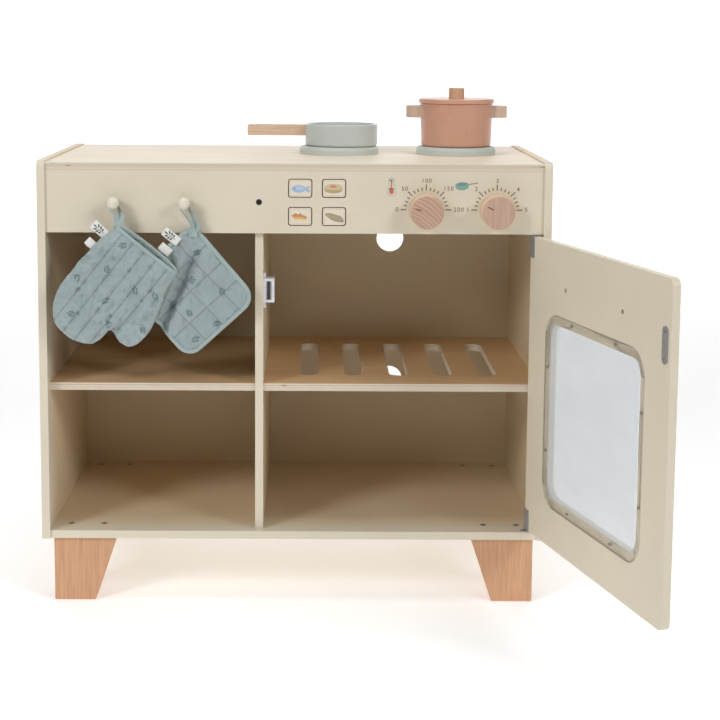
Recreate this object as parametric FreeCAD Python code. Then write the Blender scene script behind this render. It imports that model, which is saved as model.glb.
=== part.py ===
import FreeCAD, Part
import math
import os

# Toy kitchen for a child: a painted board cabinet on four beech feet, with an open
# compartment, an oven behind a glazed swinging door, a control panel with turning knobs and
# push buttons, two hob discs, a pan, a lidded pot, an oven mitt and a pot holder.
# Millimetres. +X is right, +Y goes from the front to the back, +Z is up. Z = 0 is the floor
# and Y = 0 is the plane of the side panels' front edges. The door is modelled closed and is
# then swung open about its pivots.

Vector = FreeCAD.Vector

# ---------------------------------------------------------------- cabinet
cabinet_x = -40.0            # the cabinet's middle, so that the part is centred with its door open
cabinet_width = 600.0
cabinet_depth = 305.0
side_height = 452.5
board = 9.5                  # painted boards
ply = 9.0                    # worktop and shelves
back_board = 6.0
foot_height = 78.0
worktop_drop = 2.0           # the worktop's top lies this far below the side panels' tops
front_setback = 2.5          # apron and bottom panel behind the side panels' front edges
side_corner_radius = 8.0
apron_height = 73.0
divider_offset = -41.5       # from the cabinet's middle
shelf_rise = 177.5           # top of both shelves above the bottom panel
shelf_setback = 0.783        # shelf fronts behind the path of the door's hinge edge
back_hole_radius = 18.3
back_hole_rises = (-59.0, 137.0)   # from the shelves' top, on the oven's centre line
carcass_screw_margin = 60.0        # from the cabinet's front and back
back_screw_spread = 50.0           # from the middle of each bay

# ---------------------------------------------------------------- oven rack
slot_count = 5
slot_width = 22.5
slot_pitch = 54.5
slot_front_margin = 46.0     # rack's front edge to the slots' front ends
slot_rear_margin = 48.5      # back panel to the slots' rear ends

# ---------------------------------------------------------------- feet
foot_top_width = 75.0
foot_bottom_width = 49.0
foot_thickness = 44.0
foot_side_inset = 12.8
foot_front_inset = 8.0
foot_rear_inset = 1.0
foot_edge_radius = 1.5
foot_screw_spacing = 40.0

# ---------------------------------------------------------------- door
door_board = 9.0
door_edge_reach = 6.0        # hinge edge past the pivot axis
door_swing_clearance = 0.783 # path of the hinge edge to the side panel
door_end_gap = 2.4           # above and below, where the hinge plates sit
door_open_angle = 106.0
door_corner_radius = 8.0
door_hinge_edge_radius = 2.0
door_free_gap = 0.5          # free edge past the divider's middle
window_top_margin = 93.3     # door's edges to the window opening
window_bottom_margin = 57.9
window_hinge_margin = 57.7
window_free_margin = 61.3
window_radius = 18.0
pane_lap = 11.5              # pane past the window opening, on each side
pane_thickness = 2.0
pane_clearance = 0.4
rebate_depth = 2.2
pane_screw_inset = 5.5
pane_screw_share_x = 0.49    # of the opening's half width, from its middle
pane_screw_share_z = 0.486
handle_height_below_top = 49.7
handle_spacing = 134.0
handle_length = 160.0
handle_section = 14.0
handle_edge_radius = 4.2
handle_gap = 18.0            # finger gap between the bar and the door
handle_bore_radius = 2.9
handle_bore_depth = 4.0

# ---------------------------------------------------------------- hinges
hinge_metal = 1.0
hinge_leaf_width = 12.0
hinge_leaf_height = 25.0
hinge_leaf_edge_gap = 0.5
hinge_plate_length = 16.0
hinge_plate_width = 7.6
hinge_plate_side_gap = 2.5
hinge_screw_offset = 7.5     # plate's screw to the pivot
hinge_pin_radius = 1.5
hinge_pin_depth = 6.0        # pin inside the board
hinge_running_clearance = 0.05
hinge_bore_clearance = 0.6
leaf_screw_drops = (8.3, 20.5)

# ---------------------------------------------------------------- magnetic catch and strike
catch_drop = 69.5            # centre below the apron
catch_width = 13.0
catch_depth = 16.0
catch_body_height = 28.5
catch_ear_height = 41.6
catch_ear_thickness = 3.0
catch_door_gap = 1.9         # catch's front behind the closed door's inner face
catch_ear_inset = 2.0        # ears behind the housing's front, and before its back
catch_back_wall = 3.0
catch_magnet_setback = 1.2
catch_pole_reach = 0.5
catch_pole_thickness = 1.2
catch_magnet_thickness = 4.0
catch_magnet_height = 22.0
catch_screw_half_spacing = 17.4
strike_width = 10.5
strike_height = 38.0
strike_metal = 1.2
strike_lip = 1.6
strike_lip_width = 1.4
strike_lip_end_gap = 4.0
strike_screw_half_spacing = 13.8
strike_clearance = 0.75      # to the divider's face with the door closed

# ---------------------------------------------------------------- control panel
peg_margins = (81.5, 163.2)  # from the left side panel
peg_ball_radius = 7.0
peg_neck_radius = 3.75
peg_reach = 17.5             # ball's centre in front of the apron
button_margin = 62.95        # divider to the middle of the four buttons
button_pitch_x = 39.4
button_pitch_z = 33.0
button_window_width = 28.3
button_window_height = 22.2
button_window_radius = 3.2
button_clearance = 0.7
button_proud = 0.3
button_flange_lap = 1.4
button_flange_thickness = 1.5
button_flange_gap = 0.4
button_travel = 3.0
spring_radius = 4.0
spring_wire = 0.45
spring_turns = 5
spring_length = 10.0
spring_post_radius = 2.6
spring_post_height = 3.0
spring_boss_height = 2.0
housing_wall = 2.4
housing_clearance = 0.6
housing_ear = 10.0
housing_ear_thickness = 3.0
dial_margins = (137.5, 55.0)  # from the right side panel
knob_drop = 9.0              # knob axes below the apron's centre line
knob_radius = 19.5
knob_depth = 21.4
knob_edge_radius = 1.5
knob_gap = 0.6
knob_bolt_radius = 2.5
knob_bolt_in_knob = 12.0
knob_bolt_head_radius = 5.0
knob_bolt_head_height = 3.0
knob_bolt_key_radius = 1.75
knob_bolt_key_depth = 2.0
bush_wall = 2.0
bush_flange_radius = 7.0
bush_flange_thickness = 1.2
bush_running_clearance = 0.05
bush_end_gap = 0.4

# ---------------------------------------------------------------- hob and cookware
hob_margins = (236.5, 88.5)  # from the right side panel
hob_y = 165.0
hob_radius = 50.0
hob_thickness = 10.0
hob_edge_radius = 5.0
cookware_wall = 4.2
cookware_floor = 5.0
cookware_base_radius = 4.0
pan_offset = 2.9             # pan stands a little off its disc's centre
pan_radius = 45.8
pan_height = 27.5
pan_handle_length = 73.0
pan_handle_height = 13.8
pan_handle_width = 14.0
pan_handle_drop = 1.2        # handle's top below the rim
pan_handle_end_radius = 2.0
tenon_radius = 4.0
tenon_length = 3.0
pot_top_radius = 45.5
pot_bottom_radius = 44.1
pot_height = 54.5
pot_handle_reach = 63.2      # pot's axis to the handles' outer faces
pot_handle_width = 34.0
pot_handle_height = 14.5
pot_handle_drop = 3.6        # below the rim
pot_handle_radius = 11.0
lid_radius = 47.5
lid_thickness = 5.4
lid_plug_thickness = 3.0
lid_plug_clearance = 0.8
lid_knob_radius = 9.8
lid_knob_height = 13.3
lid_knob_tenon = 4.0
lid_edge_radius = 1.0
lid_knob_edge_radius = 0.8

# ---------------------------------------------------------------- soft goods
loop_neck_gap = 0.35         # loop's inside to the peg's neck
loop_strap = 1.0
loop_foot_radius = 1.2
loop_lap = 3.0               # loop's lower end inside the pot holder's corner
loop_front = -8.3
loop_back = -3.3
holder_offset = (6.3, -103.7)      # centre, from its peg
holder_side = 108.0
holder_corner_radius = 16.0
holder_tilt = 47.0
holder_front = -8.6
holder_back = -1.6
soft_edge_radius = 2.4
mitt_offset = (39.5, -53.7)        # middle of the cuff's edge, from its peg
mitt_tilt = -38.5                  # cuff's edge from +X
mitt_front = -27.0
mitt_back = -9.0
mitt_cuff_half = 42.9
mitt_outline = ((-47.5, 30), (-52.4, 73), (-48, 109), (-37, 130), (-13, 139), (13, 132.6),
                (23.6, 111), (28, 98), (40, 101.6), (54, 102.5), (64, 84), (60, 52), (48.5, 20))
mitt_pocket = ((37, -2), (40, 30), (20, 90), (8, 120), (-20, 126), (-40, 110), (-44, 70),
               (-37, -2))
mitt_pocket_gap = 8.0
mitt_loop_inset = (7.0, 8.0)       # where the loop is sewn, from the cuff's upper corner

# ---------------------------------------------------------------- fasteners
# head radius, head height, shank radius, whole length
carcass_screw = (3.6, 2.6, 2.0, 34.0)
foot_screw = (4.0, 2.6, 2.25, 32.0)
back_screw = (3.0, 1.8, 1.5, 19.0)
disc_screw = (3.2, 2.0, 1.75, 16.0)
peg_screw = (3.0, 1.8, 1.5, 20.0)
fitting_screw = (2.3, 1.3, 1.2, 8.6)
pane_screw = (2.2, 1.2, 1.1, 6.6)
handle_screw = (2.7, 2.0, 1.6, 20.0)

# ---------------------------------------------------------------- planes that pieces share
left_outer = cabinet_x - cabinet_width / 2
left_inner = left_outer + board
right_outer = cabinet_x + cabinet_width / 2
right_inner = right_outer - board
bottom_top = foot_height + board
side_top = foot_height + side_height
worktop_top = side_top - worktop_drop
worktop_under = worktop_top - ply
apron_bottom = worktop_under - apron_height
apron_middle = (apron_bottom + worktop_under) / 2
apron_back = front_setback + board
back_face = cabinet_depth - back_board
divider_x = cabinet_x + divider_offset
divider_left = divider_x - board / 2
divider_right = divider_x + board / 2
shelf_top = bottom_top + shelf_rise
oven_x = (divider_right + right_inner) / 2
hob_top = worktop_top + hob_thickness
hob_x = [right_inner - margin for margin in hob_margins]
dial_x = [right_inner - margin for margin in dial_margins]
peg_x = [left_inner + margin for margin in peg_margins]
button_x = divider_right + button_margin

door_swing = math.hypot(door_edge_reach - door_hinge_edge_radius,
                        door_board / 2 - door_hinge_edge_radius) + door_hinge_edge_radius
pivot_x = right_inner - door_swing_clearance - door_swing
pivot_y = front_setback + door_board / 2
shelf_front = pivot_y + door_swing + shelf_setback
door_hinge_x = pivot_x + door_edge_reach
door_free_x = divider_x + door_free_gap
door_bottom = bottom_top + door_end_gap
door_top = apron_bottom - door_end_gap
door_outer = front_setback
door_inner = door_outer + door_board
window_width = door_hinge_x - window_hinge_margin - door_free_x - window_free_margin
window_height = door_top - window_top_margin - door_bottom - window_bottom_margin
window_x = door_hinge_x - window_hinge_margin - window_width / 2
window_z = door_bottom + window_bottom_margin + window_height / 2
handle_z = door_top - handle_height_below_top
catch_z = apron_bottom - catch_drop
catch_front = door_inner + catch_door_gap

X = Vector(1, 0, 0)
Y = Vector(0, 1, 0)
Z = Vector(0, 0, 1)
nodes = {}


# ---------------------------------------------------------------- shapes
def block(x0, x1, y0, y1, z0, z1):
    return Part.makeBox(x1 - x0, y1 - y0, z1 - z0, Vector(x0, y0, z0))


def rod(at, axis, radius, length):
    return Part.makeCylinder(radius, length, at, axis)


def rounded_plate(x, z, width, height, radius, y0, y1):
    """A rounded rectangle in the X-Z plane, from y0 to y1."""
    plate = block(x - width / 2, x + width / 2, y0, y1, z - height / 2, z + height / 2)
    corners = [e for e in plate.Edges if abs(e.tangentAt(e.FirstParameter).y) > 0.9]
    return plate.makeFillet(radius, corners)


def obround(x, y, width, length, z0, z1):
    """A slot with round ends that runs along Y."""
    radius = width / 2
    half = length / 2 - radius
    body = block(x - radius, x + radius, y - half, y + half, z0, z1)
    ends = [rod(Vector(x, y + s * half, z0), Z, radius, z1 - z0) for s in (-1, 1)]
    return body.fuse(ends).removeSplitter()


def placed(shape, at, axis):
    """A copy of a shape made along +Z, laid along axis from the point at."""
    copy = shape.copy()
    copy.Placement = FreeCAD.Placement(at, FreeCAD.Rotation(Z, axis))
    return copy


def screw_body(kind):
    head_radius, head_height, shank_radius, length = kind
    head = Part.makeCone(head_radius, shank_radius, head_height)
    tip_height = 2 * shank_radius
    shank = rod(Vector(0, 0, head_height), Z, shank_radius, length - head_height - tip_height)
    tip = Part.makeCone(shank_radius, 0.2 * shank_radius, tip_height,
                        Vector(0, 0, length - tip_height))
    return head.fuse([shank, tip]).removeSplitter()


def screw(kind, at, axis):
    """A countersunk cross-head screw; at is the middle of its head, axis its direction."""
    head_radius, head_height, shank_radius, _ = kind
    arm = 0.62 * head_radius
    slot = 0.16 * head_radius
    depth = 0.7 * head_height
    cross = block(-arm, arm, -slot, slot, 0, depth).fuse(block(-slot, slot, -arm, arm, 0, depth))
    return placed(screw_body(kind).cut(cross), at, axis)


def screw_seat(kind, at, axis):
    """What a screw fills, to cut from the pieces it goes through."""
    return placed(screw_body(kind), at, axis)


def revolved(points, at, axis):
    """A turned solid from a closed profile of (radius, height) points."""
    outline = Part.makePolygon([Vector(r, 0, h) for r, h in points + [points[0]]])
    return placed(Part.Face(outline).revolve(Vector(0, 0, 0), Z, 360), at, axis)


def edges_at(shape, axis, value, curved=False):
    """Edges that lie in the plane where the given coordinate has this value."""
    found = []
    for edge in shape.Edges:
        low = getattr(edge.BoundBox, axis + "Min")
        high = getattr(edge.BoundBox, axis + "Max")
        if abs(low - value) < 1e-4 and abs(high - value) < 1e-4:
            if not curved or not isinstance(edge.Curve, Part.Line):
                found.append(edge)
    return found


def swung_open(shape):
    copy = shape.copy()
    copy.rotate(Vector(pivot_x, pivot_y, 0), Z, door_open_angle)
    return copy


def add(name, *solids):
    nodes[name] = solids[0] if len(solids) == 1 else Part.makeCompound(list(solids))


# ---------------------------------------------------------------- where the screws go
def carcass_screw_places():
    depths = (carcass_screw_margin, cabinet_depth - carcass_screw_margin)
    levels = (foot_height + board / 2, shelf_top - ply / 2, worktop_top - ply / 2)
    joints = [(z, y) for z in levels for y in depths]
    joints.append((apron_middle, front_setback + board / 2))
    places = []
    for z, y in joints:
        places.append((Vector(left_outer, y, z), X))
        places.append((Vector(right_outer, y, z), -X))
    for y in depths:
        places.append((Vector(divider_x, y, foot_height), Z))
    places.append((Vector(divider_x, front_setback, apron_middle), Y))
    return places


def foot_places():
    """Name, outer side's direction, the foot's outer X and its front Y."""
    front = foot_front_inset
    rear = cabinet_depth - foot_rear_inset - foot_thickness
    left = left_outer + foot_side_inset
    right = right_outer - foot_side_inset
    return [("foot_front_left", 1, left, front), ("foot_front_right", -1, right, front),
            ("foot_rear_left", 1, left, rear), ("foot_rear_right", -1, right, rear)]


def foot_screw_places():
    places = []
    for _, side, outer, front in foot_places():
        middle = outer + side * foot_top_width / 2
        for s in (-1, 1):
            at = Vector(middle + s * foot_screw_spacing / 2, front + foot_thickness / 2, bottom_top)
            places.append((at, -Z))
    return places


def back_screw_places():
    places = []
    for middle in ((left_inner + divider_left) / 2, oven_x):
        for x in (middle - back_screw_spread, middle + back_screw_spread):
            for z in (foot_height + board / 2, shelf_top - ply / 2):
                places.append((Vector(x, cabinet_depth, z), -Y))
    for z in (apron_middle, (bottom_top + shelf_top) / 2):
        places.append((Vector(divider_x, cabinet_depth, z), -Y))
    return places


def seats(kind, places):
    return [screw_seat(kind, at, axis) for at, axis in places]


def screws(kind, places):
    return [screw(kind, at, axis) for at, axis in places]


disc_screw_places = [(Vector(x, hob_y, worktop_under), Z) for x in hob_x]
peg_screw_places = [(Vector(x, apron_back, apron_middle), -Y) for x in peg_x]
hinge_ends = [(apron_bottom, 1), (bottom_top, -1)]      # Z of the board's face, way into it
hinge_plate_screw_places = [(Vector(pivot_x - hinge_screw_offset, pivot_y, z - way * hinge_metal),
                             Z * way) for z, way in hinge_ends]
catch_screw_places = [(Vector(divider_right + catch_ear_thickness, catch_front + catch_depth / 2,
                              catch_z + s * catch_screw_half_spacing), -X) for s in (-1, 1)]
housing_half_width = (button_pitch_x + button_window_width) / 2 + button_flange_lap \
    + housing_clearance + housing_wall
housing_half_height = (button_pitch_z + button_window_height) / 2 + button_flange_lap \
    + housing_clearance + housing_wall
housing_screw_places = [(Vector(button_x + s * (housing_half_width + housing_ear / 2),
                                apron_back + housing_ear_thickness, apron_middle), -Y)
                        for s in (-1, 1)]


# ---------------------------------------------------------------- cabinet
def make_carcass():
    carcass = seats(carcass_screw, carcass_screw_places())
    backs = seats(back_screw, back_screw_places())
    feet = seats(foot_screw, foot_screw_places())
    pivots = [rod(Vector(pivot_x, pivot_y, z), Z * way, hinge_pin_radius + hinge_bore_clearance,
                  hinge_pin_depth + 1) for z, way in hinge_ends]
    plates = seats(fitting_screw, hinge_plate_screw_places)

    for name, x in (("side_panel_left", left_outer), ("side_panel_right", right_inner)):
        panel = block(x, x + board, 0, cabinet_depth, foot_height, side_top)
        top = [e for e in edges_at(panel, "Z", side_top)
               if abs(e.BoundBox.YMax - e.BoundBox.YMin) < 1e-6]
        panel = panel.makeFillet(side_corner_radius, top)
        add(name, panel.cut(carcass))

    bottom = block(left_inner, right_inner, front_setback, back_face, foot_height, bottom_top)
    add("bottom_panel", bottom.cut(carcass + backs + feet + [pivots[1], plates[1]]))

    divider = block(divider_left, divider_right, apron_back, back_face, bottom_top, worktop_under)
    catches = seats(fitting_screw, catch_screw_places)
    add("centre_divider", divider.cut(carcass + backs + catches))

    worktop = block(left_inner, right_inner, front_setback, cabinet_depth,
                    worktop_under, worktop_top)
    add("worktop", worktop.cut(carcass + seats(disc_screw, disc_screw_places)))

    back = block(left_inner, right_inner, back_face, cabinet_depth, foot_height, worktop_under)
    holes = [rod(Vector(oven_x, back_face, shelf_top + rise), Y, back_hole_radius, back_board)
             for rise in back_hole_rises]
    add("back_panel", back.cut(backs + holes))

    add("carcass_screws", *screws(carcass_screw, carcass_screw_places()))
    add("back_panel_screws", *screws(back_screw, back_screw_places()))
    add("foot_screws", *screws(foot_screw, foot_screw_places()))
    return pivots, plates


def make_shelves():
    cuts = seats(carcass_screw, carcass_screw_places()) + seats(back_screw, back_screw_places())
    bottom = shelf_top - ply
    shelf = block(left_inner, divider_left, shelf_front, back_face, bottom, shelf_top)
    add("left_shelf", shelf.cut(cuts))
    rack = block(divider_right, right_inner, shelf_front, back_face, bottom, shelf_top)
    slot_length = back_face - slot_rear_margin - shelf_front - slot_front_margin
    y = shelf_front + slot_front_margin + slot_length / 2
    first = oven_x - slot_pitch * (slot_count - 1) / 2
    slots = [obround(first + i * slot_pitch, y, slot_width, slot_length, bottom, shelf_top)
             for i in range(slot_count)]
    add("oven_rack", rack.cut(cuts + slots))


def make_feet():
    cuts = seats(foot_screw, foot_screw_places())
    for name, side, outer, front in foot_places():
        corners = [(outer, foot_height), (outer + side * foot_top_width, foot_height),
                   (outer + side * foot_bottom_width, 0), (outer, 0)]
        outline = Part.makePolygon([Vector(x, front, z) for x, z in corners + corners[:1]])
        foot = Part.Face(outline).extrude(Y * foot_thickness)
        upright = [e for e in foot.Edges if e.BoundBox.ZLength > foot_height - 1]
        add(name, foot.makeFillet(foot_edge_radius, upright).cut(cuts))


# ---------------------------------------------------------------- control panel
def button_places():
    return [("button_fish", -1, 1), ("button_cake", 1, 1),
            ("button_pie", -1, -1), ("button_bread", 1, -1)]


def button_centre(side, level):
    return button_x + side * button_pitch_x / 2, apron_middle + level * button_pitch_z / 2


def make_control_panel(pivot_bore, plate_seat):
    apron = block(left_inner, right_inner, front_setback, apron_back, apron_bottom, worktop_under)
    cuts = [pivot_bore, plate_seat]
    cuts += seats(carcass_screw, carcass_screw_places())
    cuts += seats(peg_screw, peg_screw_places)
    cuts += seats(fitting_screw, housing_screw_places)
    for _, side, level in button_places():
        x, z = button_centre(side, level)
        cuts.append(rounded_plate(x, z, button_window_width, button_window_height,
                                  button_window_radius, front_setback, apron_back))
    for x in dial_x:
        at = Vector(x, front_setback, apron_middle - knob_drop)
        cuts.append(rod(at, Y, knob_bolt_radius + bush_running_clearance + bush_wall, board))
    add("control_panel", apron.cut(cuts))


def make_pegs():
    seat = seats(peg_screw, peg_screw_places)
    for name, x in zip(("hook_peg_left", "hook_peg_right"), peg_x):
        base = Vector(x, front_setback, apron_middle)
        ball = Part.makeSphere(peg_ball_radius, base - Y * peg_reach)
        peg = rod(base, -Y, peg_neck_radius, peg_reach).fuse(ball).removeSplitter()
        add(name, peg.cut(seat))
    add("hook_peg_screws", *screws(peg_screw, peg_screw_places))


def make_spring(x, z, y0):
    pitch = (spring_length - 2 * spring_wire) / spring_turns
    helix = Part.makeHelix(pitch, pitch * spring_turns, spring_radius - spring_wire)
    start = Vector(spring_radius - spring_wire, 0, 0)
    ring = Part.Wire([Part.makeCircle(spring_wire, start, Y)])
    coil = Part.Wire(helix.Edges).makePipeShell([ring], True, True)
    coil.Placement = FreeCAD.Placement(Vector(x, y0 + spring_wire, z), FreeCAD.Rotation(Z, Y))
    return coil


def make_buttons():
    flange_front = apron_back + button_flange_gap
    flange_back = flange_front + button_flange_thickness
    floor_front = flange_back + spring_length
    housing = block(button_x - housing_half_width, button_x + housing_half_width, apron_back,
                    floor_front + housing_wall, apron_middle - housing_half_height,
                    apron_middle + housing_half_height)
    ears = block(button_x - housing_half_width - housing_ear,
                 button_x + housing_half_width + housing_ear, apron_back,
                 apron_back + housing_ear_thickness, apron_middle - housing_ear / 2,
                 apron_middle + housing_ear / 2)
    housing = housing.fuse(ears)
    for name, side, level in button_places():
        x, z = button_centre(side, level)
        flange_width = button_window_width + 2 * button_flange_lap
        flange_height = button_window_height + 2 * button_flange_lap
        pocket = rounded_plate(x, z, flange_width + 2 * housing_clearance,
                               flange_height + 2 * housing_clearance,
                               button_window_radius + housing_clearance, apron_back, floor_front)
        post = rod(Vector(x, floor_front, z), -Y, spring_post_radius, spring_post_height)
        housing = housing.cut(pocket).fuse(post)
        cap = rounded_plate(x, z, button_window_width - 2 * button_clearance,
                            button_window_height - 2 * button_clearance,
                            button_window_radius - button_clearance,
                            front_setback - button_proud, flange_front)
        flange = rounded_plate(x, z, flange_width, flange_height, button_window_radius,
                               flange_front, flange_back)
        boss = rod(Vector(x, flange_back, z), Y, spring_post_radius, spring_boss_height)
        add(name, cap.fuse([flange, boss]).removeSplitter())
        add(name.replace("button", "button_spring"), make_spring(x, z, flange_back))
    housing = housing.removeSplitter().cut(seats(fitting_screw, housing_screw_places))
    add("button_housing", housing)


def make_knobs():
    bore = knob_bolt_radius + bush_running_clearance
    bushes = []
    for name, x in zip(("temperature_knob", "hob_knob"), dial_x):
        z = apron_middle - knob_drop
        knob_back = front_setback - knob_gap
        knob = rod(Vector(x, knob_back, z), -Y, knob_radius, knob_depth)
        knob = knob.makeFillet(knob_edge_radius, edges_at(knob, "Y", knob_back - knob_depth, True))
        bolt_hole = rod(Vector(x, knob_back, z), -Y, knob_bolt_radius, knob_bolt_in_knob)
        add(name, knob.cut(bolt_hole))
        bush = rod(Vector(x, front_setback, z), Y, bore + bush_wall, board)
        flange = rod(Vector(x, apron_back, z), Y, bush_flange_radius, bush_flange_thickness)
        inside = rod(Vector(x, front_setback, z), Y, bore, board + bush_flange_thickness)
        bushes.append(bush.fuse(flange).removeSplitter().cut(inside))
        head_front = apron_back + bush_flange_thickness + bush_end_gap
        shank_front = knob_back - knob_bolt_in_knob
        bolt = rod(Vector(x, shank_front, z), Y, knob_bolt_radius, head_front - shank_front)
        head = rod(Vector(x, head_front, z), Y, knob_bolt_head_radius, knob_bolt_head_height)
        key = rod(Vector(x, head_front + knob_bolt_head_height, z), -Y, knob_bolt_key_radius,
                  knob_bolt_key_depth)
        add(name + "_bolt", bolt.fuse(head).removeSplitter().cut(key))
    add("knob_bushes", *bushes)


# ---------------------------------------------------------------- catch and hinges
def make_catch():
    x0 = divider_right
    x1 = x0 + catch_width
    back = catch_front + catch_depth
    body = block(x0, x1, catch_front, back, catch_z - catch_body_height / 2,
                 catch_z + catch_body_height / 2)
    ears = block(x0, x0 + catch_ear_thickness, catch_front + catch_ear_inset,
                 back - catch_ear_inset,
                 catch_z - catch_ear_height / 2, catch_z + catch_ear_height / 2)
    middle = x0 + catch_width / 2
    magnet_half = catch_magnet_thickness / 2
    pack_half = magnet_half + catch_pole_thickness
    low = catch_z - catch_magnet_height / 2
    high = catch_z + catch_magnet_height / 2
    pack_back = back - catch_back_wall
    pocket = block(middle - pack_half, middle + pack_half, catch_front, pack_back, low, high)
    body = body.fuse(ears).removeSplitter().cut(pocket)
    add("magnetic_catch", body.cut(seats(fitting_screw, catch_screw_places)))
    add("catch_magnet", block(middle - magnet_half, middle + magnet_half,
                              catch_front + catch_magnet_setback, pack_back, low, high))
    add("catch_pole_plates", *[block(middle + a, middle + b, catch_front - catch_pole_reach,
                                     pack_back, low, high)
                               for a, b in ((-pack_half, -magnet_half), (magnet_half, pack_half))])


def make_hinge_plates():
    plates = []
    for z, way in hinge_ends:
        z0, z1 = sorted((z, z - way * hinge_metal))
        right = right_inner - hinge_plate_side_gap
        plate = block(right - hinge_plate_length, right, pivot_y - hinge_plate_width / 2,
                      pivot_y + hinge_plate_width / 2, z0, z1)
        bore = rod(Vector(pivot_x, pivot_y, z0), Z, hinge_pin_radius + hinge_running_clearance,
                   hinge_metal)
        plates.append(plate.cut([bore] + seats(fitting_screw, hinge_plate_screw_places)))
    add("hinge_plates", *plates)
    places = hinge_plate_screw_places + catch_screw_places + housing_screw_places
    add("fitting_screws", *screws(fitting_screw, places))


# ---------------------------------------------------------------- door
pane_screw_places = []
for side in (-1, 1):
    reach_x = window_width / 2 + pane_lap - pane_screw_inset
    reach_z = window_height / 2 + pane_lap - pane_screw_inset
    pane_face = door_inner - rebate_depth + pane_thickness
    for half in (-1, 1):
        across = half * pane_screw_share_x * window_width / 2
        up = half * pane_screw_share_z * window_height / 2
        pane_screw_places.append((Vector(window_x + across, pane_face,
                                         window_z + side * reach_z), -Y))
        pane_screw_places.append((Vector(window_x + side * reach_x, pane_face,
                                         window_z + up), -Y))

handle_screw_places = [(Vector(window_x + s * handle_spacing / 2, door_inner - handle_bore_depth,
                               handle_z), -Y) for s in (-1, 1)]
leaf_x = door_hinge_x - hinge_leaf_edge_gap - hinge_leaf_width / 2
leaf_screw_places = []
for door_end, way in ((door_top, 1), (door_bottom, -1)):
    for drop in leaf_screw_drops:
        leaf_screw_places.append((Vector(leaf_x, door_inner + hinge_metal,
                                         door_end - way * drop), -Y))
strike_left = divider_right + strike_clearance
strike_x = strike_left + strike_width / 2
strike_screw_places = [(Vector(strike_x, door_inner + strike_metal,
                               catch_z + s * strike_screw_half_spacing), -Y) for s in (-1, 1)]


def make_door():
    door = block(door_free_x, door_hinge_x, door_outer, door_inner, door_bottom, door_top)
    free = [e for e in edges_at(door, "X", door_free_x) if e.BoundBox.YLength > door_board / 2]
    door = door.makeFillet(door_corner_radius, free)
    hinge = [e for e in edges_at(door, "X", door_hinge_x) if e.BoundBox.ZLength > door_board]
    door = door.makeFillet(door_hinge_edge_radius, hinge)
    pane_width = window_width + 2 * pane_lap
    pane_height = window_height + 2 * pane_lap
    pane_radius = window_radius + pane_lap
    opening = rounded_plate(window_x, window_z, window_width, window_height, window_radius,
                            door_outer, door_inner)
    rebate = rounded_plate(window_x, window_z, pane_width + 2 * pane_clearance,
                           pane_height + 2 * pane_clearance, pane_radius + pane_clearance,
                           door_inner - rebate_depth, door_inner)
    bores = [rod(Vector(at.x, door_inner, at.z), -Y, handle_bore_radius, handle_bore_depth)
             for at, _ in handle_screw_places]
    cuts = [opening, rebate] + bores + seats(handle_screw, handle_screw_places)
    cuts += seats(pane_screw, pane_screw_places) + seats(fitting_screw, leaf_screw_places)
    cuts += seats(fitting_screw, strike_screw_places)
    add("door_panel", swung_open(door.cut(cuts)))

    pane_back = door_inner - rebate_depth
    pane = rounded_plate(window_x, window_z, pane_width, pane_height, pane_radius,
                         pane_back, pane_back + pane_thickness)
    add("door_window", swung_open(pane.cut(seats(pane_screw, pane_screw_places))))
    add("window_screws", *[swung_open(s) for s in screws(pane_screw, pane_screw_places)])


def make_door_handle():
    bar_back = door_outer - handle_gap
    bar = rounded_plate(window_x, handle_z, handle_length, handle_section,
                        handle_edge_radius, bar_back - handle_section, bar_back)
    legs = [block(x - handle_section / 2, x + handle_section / 2, bar_back, door_outer,
                  handle_z - handle_section / 2, handle_z + handle_section / 2)
            for x in (window_x - handle_spacing / 2, window_x + handle_spacing / 2)]
    handle = bar.fuse(legs).removeSplitter().cut(seats(handle_screw, handle_screw_places))
    add("door_handle", swung_open(handle))
    add("handle_screws", *[swung_open(s) for s in screws(handle_screw, handle_screw_places)])


def make_strike():
    plate = rounded_plate(strike_x, catch_z, strike_width, strike_height,
                          strike_width / 2 - 0.01, door_inner, door_inner + strike_metal)
    lip = block(strike_left, strike_left + strike_lip_width, door_inner, door_inner + strike_lip,
                catch_z - strike_height / 2 + strike_lip_end_gap,
                catch_z + strike_height / 2 - strike_lip_end_gap)
    strike = plate.fuse(lip).removeSplitter().cut(seats(fitting_screw, strike_screw_places))
    add("strike_plate", swung_open(strike))
    places = strike_screw_places + leaf_screw_places
    add("door_fitting_screws", *[swung_open(s) for s in screws(fitting_screw, places)])


def make_hinge_leaves():
    leaves = []
    pins = []
    half = hinge_leaf_width / 2
    for door_end, way in ((door_top, 1), (door_bottom, -1)):
        z0, z1 = sorted((door_end, door_end - way * hinge_leaf_height))
        leaf = block(leaf_x - half, leaf_x + half, door_inner, door_inner + hinge_metal, z0, z1)
        t0, t1 = sorted((door_end, door_end + way * hinge_metal))
        tab = block(leaf_x - half, leaf_x + half, pivot_y - hinge_plate_width / 2,
                    door_inner + hinge_metal, t0, t1)
        pin_hole = rod(Vector(pivot_x, pivot_y, t0), Z, hinge_pin_radius, hinge_metal)
        leaf = leaf.fuse(tab).removeSplitter().cut([pin_hole] + seats(fitting_screw,
                                                                      leaf_screw_places))
        leaves.append(swung_open(leaf))
        reach = door_end_gap + hinge_pin_depth
        pins.append(swung_open(rod(Vector(pivot_x, pivot_y, door_end), Z * way,
                                   hinge_pin_radius, reach)))
    add("hinge_leaves", *leaves)
    add("hinge_pins", *pins)


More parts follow.
